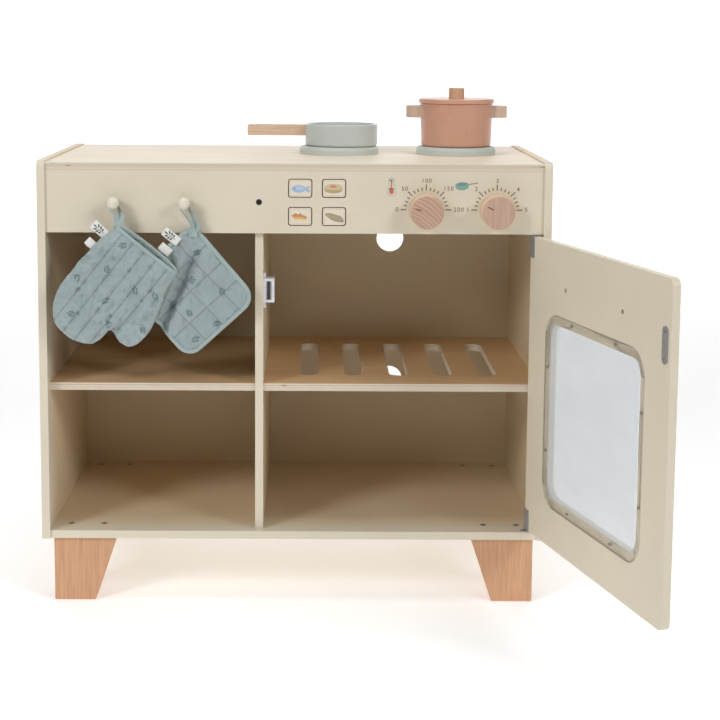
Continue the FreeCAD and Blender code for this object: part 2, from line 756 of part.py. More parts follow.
# ---------------------------------------------------------------- hob and cookware
def make_hob():
    for name, x in zip(("hob_disc_left", "hob_disc_right"), hob_x):
        disc = rod(Vector(x, hob_y, worktop_top), Z, hob_radius, hob_thickness)
        disc = disc.makeFillet(hob_edge_radius, edges_at(disc, "Z", hob_top, True))
        add(name, disc.cut(seats(disc_screw, disc_screw_places)))
    add("hob_disc_screws", *screws(disc_screw, disc_screw_places))


def make_pan():
    x = hob_x[0] + pan_offset
    axis = Vector(x, hob_y, hob_top)
    rim = hob_top + pan_height
    body = rod(axis, Z, pan_radius, pan_height)
    body = body.makeFillet(cookware_base_radius, edges_at(body, "Z", hob_top, True))
    body = body.cut(rod(axis + Z * cookware_floor, Z, pan_radius - cookware_wall,
                        pan_height - cookware_floor))
    z1 = rim - pan_handle_drop
    z0 = z1 - pan_handle_height
    bar = block(x - pan_radius - pan_handle_length, x - pan_radius + 3,
                hob_y - pan_handle_width / 2, hob_y + pan_handle_width / 2, z0, z1)
    ends = edges_at(bar, "X", x - pan_radius - pan_handle_length)
    bar = bar.makeFillet(pan_handle_end_radius, ends).cut(rod(axis, Z, pan_radius, pan_height))
    tenon = rod(Vector(x - pan_radius - 2, hob_y, (z0 + z1) / 2), X, tenon_radius,
                tenon_length + 2)
    add("pan_handle", bar.fuse(tenon).removeSplitter())
    add("pan_body", body.cut(tenon))


def make_pot():
    x = hob_x[1]
    axis = Vector(x, hob_y, hob_top)
    outer = Part.makeCone(pot_bottom_radius, pot_top_radius, pot_height, axis, Z)
    inside = rod(axis + Z * cookware_floor, Z, pot_bottom_radius - cookware_wall,
                 pot_height - cookware_floor)
    body = outer.makeFillet(cookware_base_radius, edges_at(outer, "Z", hob_top, True)).cut(inside)
    z = hob_top + pot_height - pot_handle_drop - pot_handle_height / 2
    handles = []
    tenons = []
    for side in (-1, 1):
        x0, x1 = sorted((x + side * (pot_bottom_radius - 12), x + side * pot_handle_reach))
        tab = block(x0, x1, hob_y - pot_handle_width / 2, hob_y + pot_handle_width / 2,
                    z - pot_handle_height / 2, z + pot_handle_height / 2)
        outer_x = x + side * pot_handle_reach
        ends = [e for e in edges_at(tab, "X", outer_x) if e.BoundBox.ZLength > 1]
        tab = tab.makeFillet(pot_handle_radius, ends).cut(outer)
        tenon = rod(Vector(x + side * (pot_top_radius + 2), hob_y, z), X * -side, tenon_radius,
                    tenon_length + 2)
        tenons.append(tenon)
        handles.append(tab.fuse(tenon).removeSplitter())
    add("pot_handles", *handles)
    add("pot_body", body.cut(tenons))


def make_lid():
    rim = Vector(hob_x[1], hob_y, hob_top + pot_height)
    disc = rod(rim, Z, lid_radius, lid_thickness)
    plug = rod(rim - Z * lid_plug_thickness, Z,
               pot_bottom_radius - cookware_wall - lid_plug_clearance, lid_plug_thickness)
    disc = disc.makeFillet(lid_edge_radius, edges_at(disc, "Z", rim.z + lid_thickness, True))
    top = rim + Z * lid_thickness
    tenon = rod(top - Z * lid_knob_tenon, Z, tenon_radius, lid_knob_tenon)
    knob = rod(top, Z, lid_knob_radius, lid_knob_height)
    knob = knob.makeFillet(lid_knob_edge_radius, edges_at(knob, "Z", top.z + lid_knob_height, True))
    add("pot_lid", disc.fuse(plug).removeSplitter().cut(tenon))
    add("lid_knob", knob.fuse(tenon).removeSplitter())


# ---------------------------------------------------------------- soft goods
def belt(c1, r1, c2, r2, y0, y1):
    """What a band round two circles in the X-Z plane encloses, from y0 to y1."""
    dx = c2[0] - c1[0]
    dz = c2[1] - c1[1]
    along = math.atan2(dz, dx)
    lean = math.acos((r1 - r2) / math.hypot(dx, dz))
    spots = []
    for (cx, cz), r in ((c1, r1), (c2, r2)):
        for turn in (lean, -lean):
            spots.append(Vector(cx + r * math.cos(along + turn), y0,
                                cz + r * math.sin(along + turn)))
    outline = Part.makePolygon([spots[0], spots[2], spots[3], spots[1], spots[0]])
    web = Part.Face(outline).extrude(Y * (y1 - y0))
    ends = [rod(Vector(cx, y0, cz), Y, r, y1 - y0) for (cx, cz), r in ((c1, r1), (c2, r2))]
    return web.fuse(ends).removeSplitter()


def loop(peg, foot_x, foot_z):
    """A tape loop from a peg's neck down to where it is sewn on."""
    top = (peg, apron_middle)
    foot = (foot_x, foot_z)
    inner = peg_neck_radius + loop_neck_gap
    outside = belt(top, inner + loop_strap, foot, loop_foot_radius + loop_strap,
                   loop_front, loop_back)
    return outside.cut(belt(top, inner, foot, loop_foot_radius, loop_front, loop_back))


def make_pot_holder():
    x = peg_x[1] + holder_offset[0]
    z = apron_middle + holder_offset[1]
    holder = rounded_plate(x, z, holder_side, holder_side, holder_corner_radius,
                           holder_front, holder_back)
    holder = holder.makeFillet(soft_edge_radius, edges_at(holder, "Y", holder_front))
    holder.rotate(Vector(x, 0, z), Y, holder_tilt)
    reach = holder_side / math.sqrt(2) - holder_corner_radius * (math.sqrt(2) - 1)
    lean = math.radians(holder_tilt - 45)
    strap = loop(peg_x[1], x + reach * math.sin(lean), z + reach * math.cos(lean) - loop_lap)
    add("pot_holder", holder)
    add("pot_holder_loop", strap.cut(holder))


def mitt_point(across, along, y):
    """A point of the mitt: across its cuff and along its length from the cuff's edge."""
    tilt = math.radians(mitt_tilt)
    x = peg_x[0] + mitt_offset[0] + across * math.cos(tilt) + along * math.sin(tilt)
    z = apron_middle + mitt_offset[1] + across * math.sin(tilt) - along * math.cos(tilt)
    return Vector(x, y, z)


def make_mitt():
    corners = [mitt_point(s * mitt_cuff_half, 0, mitt_front) for s in (-1, 1)]
    curve = Part.BSplineCurve()
    spots = [mitt_point(a, b, mitt_front) for a, b in mitt_outline]
    curve.interpolate([corners[0]] + spots + [corners[1]])
    outline = Part.Wire([curve.toShape(), Part.LineSegment(corners[1], corners[0]).toShape()])
    mitt = Part.Face(outline).extrude(Y * (mitt_back - mitt_front))
    middle = (mitt_front + mitt_back) / 2
    pocket_front = middle - mitt_pocket_gap / 2
    inside = [mitt_point(a, b, pocket_front) for a, b in mitt_pocket]
    pocket = Part.Face(Part.makePolygon(inside + inside[:1])).extrude(Y * mitt_pocket_gap)
    add("oven_mitt", mitt.cut(pocket))
    top = mitt_point(mitt_loop_inset[0] - mitt_cuff_half, mitt_loop_inset[1], 0)
    add("oven_mitt_loop", loop(peg_x[0], top.x, top.z))


def main():
    pivots, plates = make_carcass()
    make_shelves()
    make_feet()
    make_control_panel(pivots[0], plates[0])
    make_pegs()
    make_buttons()
    make_knobs()
    make_catch()
    make_hinge_plates()
    make_door()
    make_door_handle()
    make_strike()
    make_hinge_leaves()
    make_hob()
    make_pan()
    make_pot()
    make_lid()
    make_pot_holder()
    make_mitt()
    os.makedirs("parts", exist_ok=True)
    for name, shape in nodes.items():
        shape.exportStep("parts/" + name + ".step")
        print(name, round(shape.Volume, 1), shape.isValid(), len(shape.Solids))
    print(len(nodes), "nodes")


main()
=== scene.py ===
import math

import bpy
import numpy as np
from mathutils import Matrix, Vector


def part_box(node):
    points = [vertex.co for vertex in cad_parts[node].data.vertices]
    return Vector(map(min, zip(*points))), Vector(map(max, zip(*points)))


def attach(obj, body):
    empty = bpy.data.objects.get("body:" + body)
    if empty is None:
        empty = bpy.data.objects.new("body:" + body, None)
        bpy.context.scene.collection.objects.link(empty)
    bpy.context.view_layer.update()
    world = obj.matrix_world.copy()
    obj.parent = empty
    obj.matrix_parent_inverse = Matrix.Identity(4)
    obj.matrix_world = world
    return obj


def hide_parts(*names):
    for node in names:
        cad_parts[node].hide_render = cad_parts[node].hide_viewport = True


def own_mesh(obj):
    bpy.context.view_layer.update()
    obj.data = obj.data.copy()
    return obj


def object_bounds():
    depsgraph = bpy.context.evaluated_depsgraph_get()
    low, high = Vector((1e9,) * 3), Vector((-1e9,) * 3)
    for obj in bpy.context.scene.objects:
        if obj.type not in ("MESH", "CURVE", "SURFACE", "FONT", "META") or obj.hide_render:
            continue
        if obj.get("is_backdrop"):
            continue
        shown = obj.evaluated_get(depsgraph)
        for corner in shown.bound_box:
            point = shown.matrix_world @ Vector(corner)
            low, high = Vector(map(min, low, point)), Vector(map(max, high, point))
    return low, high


# The looks of a toy kitchen: painted boards with eased edges, plywood shelves, beech feet and
# knobs, printed dials and pictures, cookware, and a quilted mitt and pot holder on two pegs.
# Metres. +X is right, +Y goes to the back, +Z is up.

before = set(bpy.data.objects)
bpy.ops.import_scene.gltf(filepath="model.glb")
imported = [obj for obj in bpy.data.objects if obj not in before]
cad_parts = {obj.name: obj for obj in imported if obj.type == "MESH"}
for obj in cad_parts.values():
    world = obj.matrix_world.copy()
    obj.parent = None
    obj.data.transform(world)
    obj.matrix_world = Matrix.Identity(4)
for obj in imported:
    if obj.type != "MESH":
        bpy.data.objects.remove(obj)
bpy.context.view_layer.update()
MM = 0.001


# ---------------------------------------------------------------- shader maths
def of_two(operation, swapped=False):
    """A method that adds one Math node for a value and another value or number."""
    def method(self, other):
        return self.maths(operation, *((other, self) if swapped else (self, other)))
    return method


def of_one(operation):
    """A method that adds one Math node for a value by itself."""
    return lambda self: self.maths(operation, self)


class Value:
    """A number, colour or vector that varies over a surface; sums on it add Math nodes."""

    def __init__(self, paint, socket):
        self.paint = paint
        self.socket = socket

    def maths(self, operation, *terms):
        return self.paint.add("ShaderNodeMath", {"operation": operation}, dict(enumerate(terms)))

    __add__ = of_two("ADD")
    __radd__ = of_two("ADD", True)
    __sub__ = of_two("SUBTRACT")
    __rsub__ = of_two("SUBTRACT", True)
    __mul__ = of_two("MULTIPLY")
    __rmul__ = of_two("MULTIPLY", True)
    __truediv__ = of_two("DIVIDE")
    __abs__ = of_one("ABSOLUTE")
    over = of_two("GREATER_THAN")
    larger = of_two("MAXIMUM")
    smaller = of_two("MINIMUM")
    root = of_one("SQRT")
    sine = of_one("SINE")
    part = of_one("FRACT")  # what is left over after whole numbers, from 0 to 1

    def eased(self, low, high):
        """0 below low and 1 above high, smoothly in between."""
        return self.paint.add("ShaderNodeMapRange", {"interpolation_type": "SMOOTHSTEP"},
                              {0: self, 1: low, 2: high})


class Paint:
    """One material. Fixed values are set on the shader itself."""

    def __init__(self, name, **fixed):
        self.material = bpy.data.materials.new(name)
        self.material.use_nodes = True
        self.tree = self.material.node_tree
        self.shader = self.tree.nodes["Principled BSDF"]
        for key, value in fixed.items():
            self.shader.inputs[key.replace("_", " ")].default_value = value

    def add(self, kind, settings=None, inputs=None, out=0):
        node = self.tree.nodes.new(kind)
        for key, value in (settings or {}).items():
            setattr(node, key, value)
        for key, value in (inputs or {}).items():
            if isinstance(value, Value):
                self.tree.links.new(value.socket, node.inputs[key])
            else:
                node.inputs[key].default_value = value
        return Value(self, node.outputs[out])

    def drive(self, **varying):
        for key, value in varying.items():
            self.tree.links.new(value.socket, self.shader.inputs[key.replace("_", " ")])

    def place(self):
        return self.add("ShaderNodeTexCoord", out="Object")

    def axes(self, vector):
        split = self.tree.nodes.new("ShaderNodeSeparateXYZ")
        self.tree.links.new(vector.socket, split.inputs[0])
        return [Value(self, socket) for socket in split.outputs]

    def turned(self, vector, scale=(1, 1, 1), turn=(0, 0, 0), shift=(0, 0, 0)):
        return self.add("ShaderNodeMapping", None,
                        {"Vector": vector, "Location": shift, "Rotation": turn, "Scale": scale})

    def from_point(self, vector, point):
        return self.add("ShaderNodeVectorMath", {"operation": "SUBTRACT"},
                        {0: vector, 1: tuple(point)})

    def normal(self):
        """The surface's direction, along X, Y and Z."""
        return self.axes(self.add("ShaderNodeNewGeometry", out="Normal"))

    def noise(self, vector, scale, detail=2.0, rough=0.5):
        return self.add("ShaderNodeTexNoise", None,
                        {"Vector": vector, "Scale": scale, "Detail": detail, "Roughness": rough})

    def mix(self, share, first, second):
        return self.add("ShaderNodeMix", {"data_type": "RGBA"}, {0: share, 6: first, 7: second},
                        out=2)

    def bump(self, height, strength, distance):
        self.drive(Normal=self.add("ShaderNodeBump", None,
                                   {"Height": height, "Strength": strength,
                                    "Distance": distance}))


def colour(red, green, blue):
    """A screen colour of 0 to 255 as the shader's light values."""
    def light(c):
        c /= 255
        return c / 12.92 if c <= 0.04045 else ((c + 0.055) / 1.055) ** 2.4
    return light(red), light(green), light(blue), 1.0


def shaded(tone, amount):
    return tuple(c * amount for c in tone[:3]) + (1.0,)


# ---------------------------------------------------------------- materials
def painted(name, tone, roughness, grain=0.35, inside=None):
    """Paint rolled or sprayed on board: a slight mottle and a fine stipple. Inside is a warmer
    tone of the same paint on the faces deep in the cabinet: painted shade for the dim, warm
    light there."""
    p = Paint(name, IOR=1.45)
    at = p.place()
    patch = p.noise(at, 9, 3)
    stipple = p.noise(at, 620, 2)
    base = p.mix(patch.eased(0.3, 0.7), shaded(tone, 0.975), shaded(tone, 1.02))
    if inside is not None:
        # Painted shade: faces behind the cabinet's front and between its sides take the warmer
        # inside tone.
        x, y, _ = p.axes(at)
        deep = (y - CABINET_FRONT).eased(0.004, 0.07) * (1 - y.over(CABINET_BACK))
        within = (CABINET_HALF - abs(x - CABINET_MIDDLE)).over(0.0015)
        base = p.mix(deep * within, base, inside)
    p.drive(Base_Color=p.mix(stipple.eased(0.35, 0.75) * 0.12, base, shaded(tone, 0.86)),
            Roughness=roughness + (p.noise(at, 45, 3) - 0.5) * 0.16)
    p.bump(stipple, grain, 0.00012)
    return p.material


def plywood(name, top, tone, flecks):
    """Lacquered birch plywood: grain along X on its faces and ply lines on its edges."""
    p = Paint(name, IOR=1.47)
    at = p.place()
    z = p.axes(at)[2]
    facing = abs(p.normal()[2]).over(0.6)
    fine = p.noise(p.turned(at, (3.2, 90, 60)), 9, 4, 0.62)
    broad = p.noise(p.turned(at, (2.2, 14, 9)), 3.4, 3, 0.55)
    face = p.mix(broad.eased(0.35, 0.68), tone, shaded(tone, 0.93))
    face = p.mix(fine.eased(0.48, 0.72) * 0.2, face, shaded(tone, 0.8))
    pores = p.noise(p.turned(at, (26, 420, 420)), 7, 1).eased(0.66, 0.76)
    face = p.mix(pores * 0.16, face, shaded(tone, 0.6))
    depth = (top - z) / PLY
    cross = (depth * 0.5).part().over(0.5)
    rim = p.mix(cross * 0.5, colour(224, 214, 196), colour(204, 188, 164))
    rim = p.mix(p.noise(p.turned(at, (40, 40, 900)), 8, 3).eased(0.4, 0.75) * 0.25, rim,
                colour(184, 162, 134))
    line = abs(depth.part() - 0.5).eased(0.40, 0.48)
    rim = p.mix(line * 0.28, rim, colour(160, 126, 92))
    low, high = flecks
    band = depth.over(low) * (1 - depth.over(high))
    middle = 1 - abs(depth - (low + high) / 2).eased(0.10, 0.30)
    rim = p.mix(middle * 0.45, rim, colour(156, 116, 80))
    gap = p.noise(p.turned(at, (1, 1, 6)), 34, 3, 0.6).eased(0.60, 0.70) * band
    rim = p.mix(gap * 0.75, rim, colour(122, 70, 44))
    p.drive(Base_Color=p.mix(facing, rim, face),
            Roughness=0.42 + fine * 0.14)
    p.bump(fine - line * 0.6, 0.25, 0.00012)
    return p.material


def beech(name, tone, along, seed=0.0, speck=0.55, rings=0.0, ring_turn=0.0, roughness=0.5,
          rim=None, middle=(0, 0, 0)):
    """Sanded beech: fine streaks along the grain, short dark flecks, and growth rings if any.
    Along is the grain's direction; rings is the rings' spacing on faces towards the front, and
    the grain is turned with them about the piece's middle."""
    p = Paint(name, IOR=1.45)
    at = p.place()
    if rings:
        at = p.turned(p.from_point(at, middle), turn=(0, ring_turn, 0))
    stretch = [260 if axis != along else 11 for axis in range(3)]
    streak = p.noise(p.turned(at, stretch, shift=(seed, seed, seed)), 1.6, 4, 0.6)
    fleck = p.noise(p.turned(at, [s * (3.4 if s > 99 else 14) for s in stretch],
                             shift=(seed, 0, seed)), 1.5, 1).eased(0.62, 0.72)
    cloud = p.noise(at, 26, 2)
    base = p.mix(streak.eased(0.35, 0.7), shaded(tone, 1.05), shaded(tone, 0.84))
    base = p.mix(cloud.eased(0.3, 0.7) * 0.3, base, shaded(tone, 0.86))
    base = p.mix(fleck * speck, base, shaded(tone, 0.62))
    if rings:
        x, _, z = p.axes(at)
        bend = p.noise(at, 40, 1) * 0.004
        wave = ((z + x * x * 9 + bend) / rings + 10).part()
        ring = wave.eased(0.2, 0.9) * (1 - wave.eased(0.9, 1.0))
        base = p.mix(ring * 0.6, base, shaded(tone, 0.55))
    if rim is not None:
        front = (p.normal()[1] * -1).eased(0.55, 0.9)
        base = p.mix(front, p.mix(streak.eased(0.35, 0.7), rim, shaded(rim, 0.92)), base)
    p.drive(Base_Color=base, Roughness=roughness + streak * 0.12)
    p.bump(streak - fleck * 0.5, 0.3, 0.00012)
    return p.material


def plain(name, tone, roughness, metal=0.0, scratch=0.0):
    """Metal or moulded plastic, with a slight mottle in its shine."""
    p = Paint(name, Metallic=metal)
    at = p.place()
    cloud = p.noise(at, 240, 3)
    p.drive(Base_Color=p.mix(cloud.eased(0.35, 0.7), tone, shaded(tone, 0.88)),
            Roughness=roughness + (p.noise(at, 900, 2) - 0.5) * 0.2)
    p.bump(p.noise(p.turned(at, (1, 1, 0.2)), 2600, 2), 0.12 + scratch, 0.00005)
    return p.material


def clear_pane():
    """Clear acrylic sheet: a patchy bluish white over its middle, painted reflection of the
    bright room, clearer round the rim where it lies on the wood, and a painted dark line of shade
    along its cut edge. Across the door is the distance from its pivot."""
    p = Paint("clear_acrylic", IOR=1.49, Roughness=0.2)
    at = p.place()
    x, y, z = p.axes(at)
    low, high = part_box("hinge_pins")
    pivot = (low + high) / 2
    reach = [math.hypot(v.co.x - pivot.x, v.co.y - pivot.y)
             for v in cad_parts["door_window"].data.vertices]
    low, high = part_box("door_window")
    dx, dy = x - pivot.x, y - pivot.y
    across = (dx * dx + dy * dy).root()
    edge = (across - min(reach)).smaller(max(reach) - across).smaller(
        (z - low.z).smaller(high.z - z))
    middle = edge.eased(0.010, 0.013)
    # A painted dark line of shade along the sheet's cut edge.
    outline = 1 - abs(edge - 0.0006).eased(0.0004, 0.0012)
    # Painted reflection: a patchy bluish white over the middle of the sheet.
    painted_reflection = p.noise(p.turned(at, (1, 1, 2.4)), 14, 3)
    tone = p.mix(painted_reflection, colour(204, 214, 222), colour(220, 228, 235))
    tone = p.mix(middle, colour(216, 208, 190), tone)
    p.drive(Base_Color=p.mix(outline * 0.6, tone, colour(120, 112, 98)),
            Alpha=(0.16 + middle * 0.26).larger(outline * 0.4))
    p.bump(p.noise(at, 400, 1), 0.02, 0.00005)
    return p.material


def cotton(name, tone, turn, lines_across, lines_along, spread):
    """Woven cotton with stitched quilting lines, darkened with painted shade along their grooves.
    Lines are their offset and spacing, measured across and along the piece, whose middle is at
    spread and which is turned in its plane."""
    p = Paint(name, Roughness=0.85, Sheen_Weight=0.25, Sheen_Roughness=0.5, IOR=1.4)
    at = p.place()
    local = p.turned(p.from_point(at, (spread[0], 0, spread[1])), turn=(0, turn, 0))
    x, _, z = p.axes(local)
    weave = (x * 5200).sine() * (z * 5200).sine()
    cloud = p.noise(at, 34, 3)
    thread = p.noise(p.turned(local, (1, 1, 6)), 380, 2)
    base = p.mix(cloud.eased(0.3, 0.7), shaded(tone, 0.95), shaded(tone, 1.04))
    base = p.mix(thread.eased(0.4, 0.8) * 0.22, base, shaded(tone, 0.84))
    height = weave * 0.4 + thread
    stitch = None
    for value, other, rows in ((x, z, lines_across), (z, x, lines_along)):
        if rows:
            offset, spacing, count = rows
            level = (value - offset) / spacing
            near = 1 - abs((level + 0.5).part() - 0.5).eased(0.35 * MM / spacing,
                                                             0.85 * MM / spacing)
            inside = 1 - abs(level).over(count)
            dash = (other / STITCH).part().over(0.22)
            seam = near * inside * (0.45 + dash * 0.55)
            stitch = seam if stitch is None else stitch.larger(seam)
    # Painted shade: each quilting line is a steadily darker copy of the cloth's tone, its
    # groove's shade, with the stitches darker still in dashes.
    if stitch is not None:
        base = p.mix(stitch * 0.6, base, shaded(tone, 0.45))
        height = height - stitch * 1.6
    p.drive(Base_Color=base)
    p.bump(height, 0.35, 0.00018)
    return p.material


def printed(name, tone, roughness=0.6):
    """Ink printed on paint or cloth, a little uneven."""
    p = Paint(name, Roughness=roughness)
    at = p.place()
    p.drive(Base_Color=p.mix(p.noise(at, 900, 3).eased(0.3, 0.8) * 0.6, tone, shaded(tone, 1.12)))
    p.bump(p.noise(at, 1400, 1), 0.1, 0.00004)
    return p.material


CABINET_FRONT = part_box("side_panel_left")[0].y
CABINET_LEFT, CABINET_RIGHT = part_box("side_panel_left")[0].x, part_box("side_panel_right")[1].x
CABINET_BACK = sum(corner.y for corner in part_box("back_panel")) / 2
CABINET_MIDDLE = (CABINET_LEFT + CABINET_RIGHT) / 2
CABINET_HALF = (CABINET_RIGHT - CABINET_LEFT) / 2
PLY = 1.5 * MM      # one layer of the plywood
STITCH = 3.2 * MM   # one quilting stitch and its gap
CREAM = colour(222, 213, 193)
SAGE = colour(197, 204, 203)
TERRACOTTA = colour(208, 160, 138)
BEECH = colour(222, 180, 145)
CLOTH = colour(158, 172, 174)


# ---------------------------------------------------------------- modelling helpers
def choose(*objects):
    """Selects these objects only; the last is the active one."""
    bpy.ops.object.select_all(action="DESELECT")
    for o in objects:
        o.select_set(True)
    bpy.context.view_layer.objects.active = objects[-1]


def edit(o):
    """Opens a piece for shaping, with all of its mesh selected."""
    choose(o)
    bpy.ops.object.mode_set(mode="EDIT")
    bpy.ops.mesh.select_all(action="SELECT")


def close_edit():
    """Ends the shaping."""
    bpy.ops.object.mode_set(mode="OBJECT")


def edit_some(o, kind, chosen):
    """Opens a piece for shaping, with only the chosen corners (VERT) or edges (EDGE) selected."""
    edit(o)
    bpy.ops.mesh.select_mode(type=kind)
    bpy.ops.mesh.select_all(action="DESELECT")
    close_edit()
    items = o.data.vertices if kind == "VERT" else o.data.edges
    for index in chosen:
        items[index].select = True
    bpy.ops.object.mode_set(mode="EDIT")


def add_mesh(name, mesh):
    o = bpy.data.objects.new(name, mesh)
    bpy.context.scene.collection.objects.link(o)
    return o


def shell(name, points, faces):
    """A closed piece from its corners and faces, with its faces turned outwards."""
    mesh = bpy.data.meshes.new(name)
    mesh.from_pydata([tuple(q) for q in points], [], faces)
    o = add_mesh(name, mesh)
    edit(o)
    bpy.ops.mesh.normals_make_consistent(inside=False)
    close_edit()
    return o


def settle(o):
    """Puts an object's place, turn and size into its mesh."""
    choose(o)
    bpy.ops.object.transform_apply(location=True, rotation=True, scale=True)


def modify(o, kind, **settings):
    choose(o)
    modifier = o.modifiers.new(kind.lower(), kind)
    for key, value in settings.items():
        setattr(modifier, key, value)
    bpy.ops.object.modifier_apply(modifier=modifier.name)


def joined(name, objects):
    choose(*objects)
    if len(objects) > 1:
        bpy.ops.object.join()
    o = bpy.context.view_layer.objects.active
    o.name = name
    o.data.name = name
    settle(o)
    return o


def show(o, body, material, stands_for=()):
    """Gives a finished piece its material and body, and hides the CAD parts that it stands for.
    """
    if material is not None:
        o.data.materials.clear()
        o.data.materials.append(material)
    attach(o, body)
    if stands_for:
        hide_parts(*stands_for)
    return o


def eased(node, body, material, width=0.5, angle=35, smooth=35):
    """A CAD node's shape with its hard edges rounded over by width millimetres."""
    o = add_mesh(node + "_eased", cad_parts[node].data.copy())
    edit(o)
    bpy.ops.mesh.remove_doubles(threshold=0.00001)
    bpy.ops.mesh.dissolve_limited(angle_limit=math.radians(0.8))
    close_edit()
    modify(o, "BEVEL", width=width * MM, segments=3, limit_method="ANGLE",
           angle_limit=math.radians(angle), use_clamp_overlap=True)
    choose(o)
    bpy.ops.object.shade_smooth_by_angle(angle=math.radians(smooth))
    modify(o, "WEIGHTED_NORMAL", keep_sharp=True, weight=80)
    return show(o, body, material, (node,))


def finish_node(node, material):
    """Gives a CAD node that stays as it is a better material."""
    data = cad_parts[node].data
    data.materials.clear()
    data.materials.append(material)


def flat_shape(add, x, z, width, height, y, turn, **settings):
    """A flat shape that faces the front, in millimetres and degrees."""
    bpy.ops.object.select_all(action="DESELECT")
    add(location=(x * MM, y * MM, z * MM), rotation=(math.pi / 2, -math.radians(turn), 0),
        **settings)
    o = bpy.context.object
    o.scale = (width * MM, height * MM, 1)
    return o


def spot(x, z, width, height, y, turn=0.0, sides=28):
    """An ellipse, or a shape of fewer sides."""
    return flat_shape(bpy.ops.mesh.primitive_circle_add, x, z, width, height, y, turn,
                      vertices=sides, radius=0.5, fill_type="NGON")


def bar(x, z, width, height, y, turn=0.0):
    """A rectangle."""
    return flat_shape(bpy.ops.mesh.primitive_plane_add, x, z, width, height, y, turn, size=1)


def middle_of(low, high):
    """X and Z of a box's middle, in millimetres."""
    return (low.x + high.x) / 2 / MM, (low.z + high.z) / 2 / MM


def ink_on(name, body, tone, *shapes):
    """Flat shapes joined and printed on a body in one tone."""
    show(joined(name, shapes), body, tone)


def digits(words, x, z, height, y):
    """Numbers on a dial, centred on a point."""
    bpy.ops.object.select_all(action="DESELECT")
    bpy.ops.object.text_add(location=(x * MM, y * MM, z * MM), rotation=(math.pi / 2, 0, 0))
    o = bpy.context.object
    o.data.body = words
    o.data.size = height * 1.38 * MM
    o.data.align_x = "CENTER"
    o.data.align_y = "CENTER"
    o.data.space_character = 1.22
    o.data.offset = 0.06 * MM
    choose(o)
    bpy.ops.object.convert(target="MESH")
    return bpy.context.object


def swept(name, line, across, outward, profile, closed=True):
    """A strip along a line: its profile is (across, outward) offsets in millimetres."""
    count, sides = len(line), len(profile)
    points = []
    for at, a, n in zip(line, across, outward):
        points += [at + a * (u * MM) + n * (v * MM) for u, v in profile]
    faces = []
    for i in range(count if closed else count - 1):
        j = (i + 1) % count
        for k in range(sides):
            m = (k + 1) % sides
            faces.append((i * sides + k, j * sides + k, j * sides + m, i * sides + m))
    if not closed:
        faces.append(tuple(range(sides)))
        faces.append(tuple((count - 1) * sides + k for k in reversed(range(sides))))
    o = shell(name, points, faces)
    bpy.ops.object.shade_smooth()
    return o


# ---------------------------------------------------------------- cabinet
# The inside tone is painted shade for the cabinet's interior.
cream = painted("cream_board_paint", CREAM, 0.5, inside=colour(222, 204, 174))
cream_panel = painted("cream_panel_paint", CREAM, 0.46, 0.25)
birch = colour(238, 226, 206)

for name in ("side_panel_left", "side_panel_right", "bottom_panel", "centre_divider"):
    eased(name, "cabinet", cream, 0.7)
eased("control_panel", "cabinet", cream_panel, 0.5)
eased("door_panel", "oven_door", cream_panel, 1.0)
finish_node("back_panel", cream)

worktop_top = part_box("worktop")[1].z
shelf_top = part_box("left_shelf")[1].z
top_ply = plywood("worktop_birch", worktop_top, birch, (1.6, 2.9))
# The shelves' face tone is browner and darker than the worktop's: painted shade for the shelf
# tops deep in the cabinet.
shelf_ply = plywood("shelf_birch", shelf_top, colour(224, 187, 143), (0.9, 2.2))
eased("worktop", "cabinet", top_ply, 0.4)
eased("left_shelf", "cabinet", shelf_ply, 0.5)
eased("oven_rack", "cabinet", shelf_ply, 0.9)

foot_wood = beech("foot_beech", colour(214, 165, 128), 2, speck=0.3)
for name in ("foot_front_left", "foot_front_right", "foot_rear_left", "foot_rear_right"):
    eased(name, "cabinet", foot_wood, 0.8)

zinc = plain("zinc_plate", colour(178, 181, 186), 0.34, 0.6)
dull_steel = plain("dull_steel", colour(176, 176, 176), 0.45, 0.6)
dark_steel = plain("black_screw", colour(52, 50, 50), 0.6, 0.1)
white_plastic = plain("white_plastic", colour(226, 228, 234), 0.4)
# The button housing is made dark so the gaps round the buttons show dark: painted shade in the
# gaps.
painted_shade_plastic = plain("painted_shade_plastic", colour(58, 54, 50), 0.6)
nylon = plain("nylon", colour(222, 220, 212), 0.5)
ferrite = plain("ferrite", colour(70, 70, 76), 0.6)
for name, material in (("carcass_screws", dark_steel), ("back_panel_screws", zinc),
                       ("foot_screws", dull_steel), ("hook_peg_screws", zinc),
                       ("button_housing", painted_shade_plastic), ("knob_bushes", nylon),
                       ("temperature_knob_bolt", zinc), ("hob_knob_bolt", zinc),
                       ("catch_magnet", ferrite), ("catch_pole_plates", dull_steel),
                       ("fitting_screws", zinc), ("window_screws", dull_steel),
                       ("handle_screws", dark_steel), ("door_fitting_screws", zinc),
                       ("hinge_pins", zinc), ("hob_disc_screws", zinc)):
    finish_node(name, material)
eased("magnetic_catch", "cabinet", white_plastic, 0.4)
eased("hinge_plates", "cabinet", zinc, 0.25)
eased("hinge_leaves", "oven_door", zinc, 0.25)
eased("strike_plate", "oven_door", zinc, 0.5)
eased("door_window", "oven_door", clear_pane(), 0.3)
eased("door_handle", "oven_door", beech("handle_beech", BEECH, 1), 0.6)

peg_paint = painted("peg_paint", colour(226, 219, 203), 0.3, 0.1)
for name in ("hook_peg_left", "hook_peg_right"):
    eased(name, "cabinet", peg_paint, 0.3)

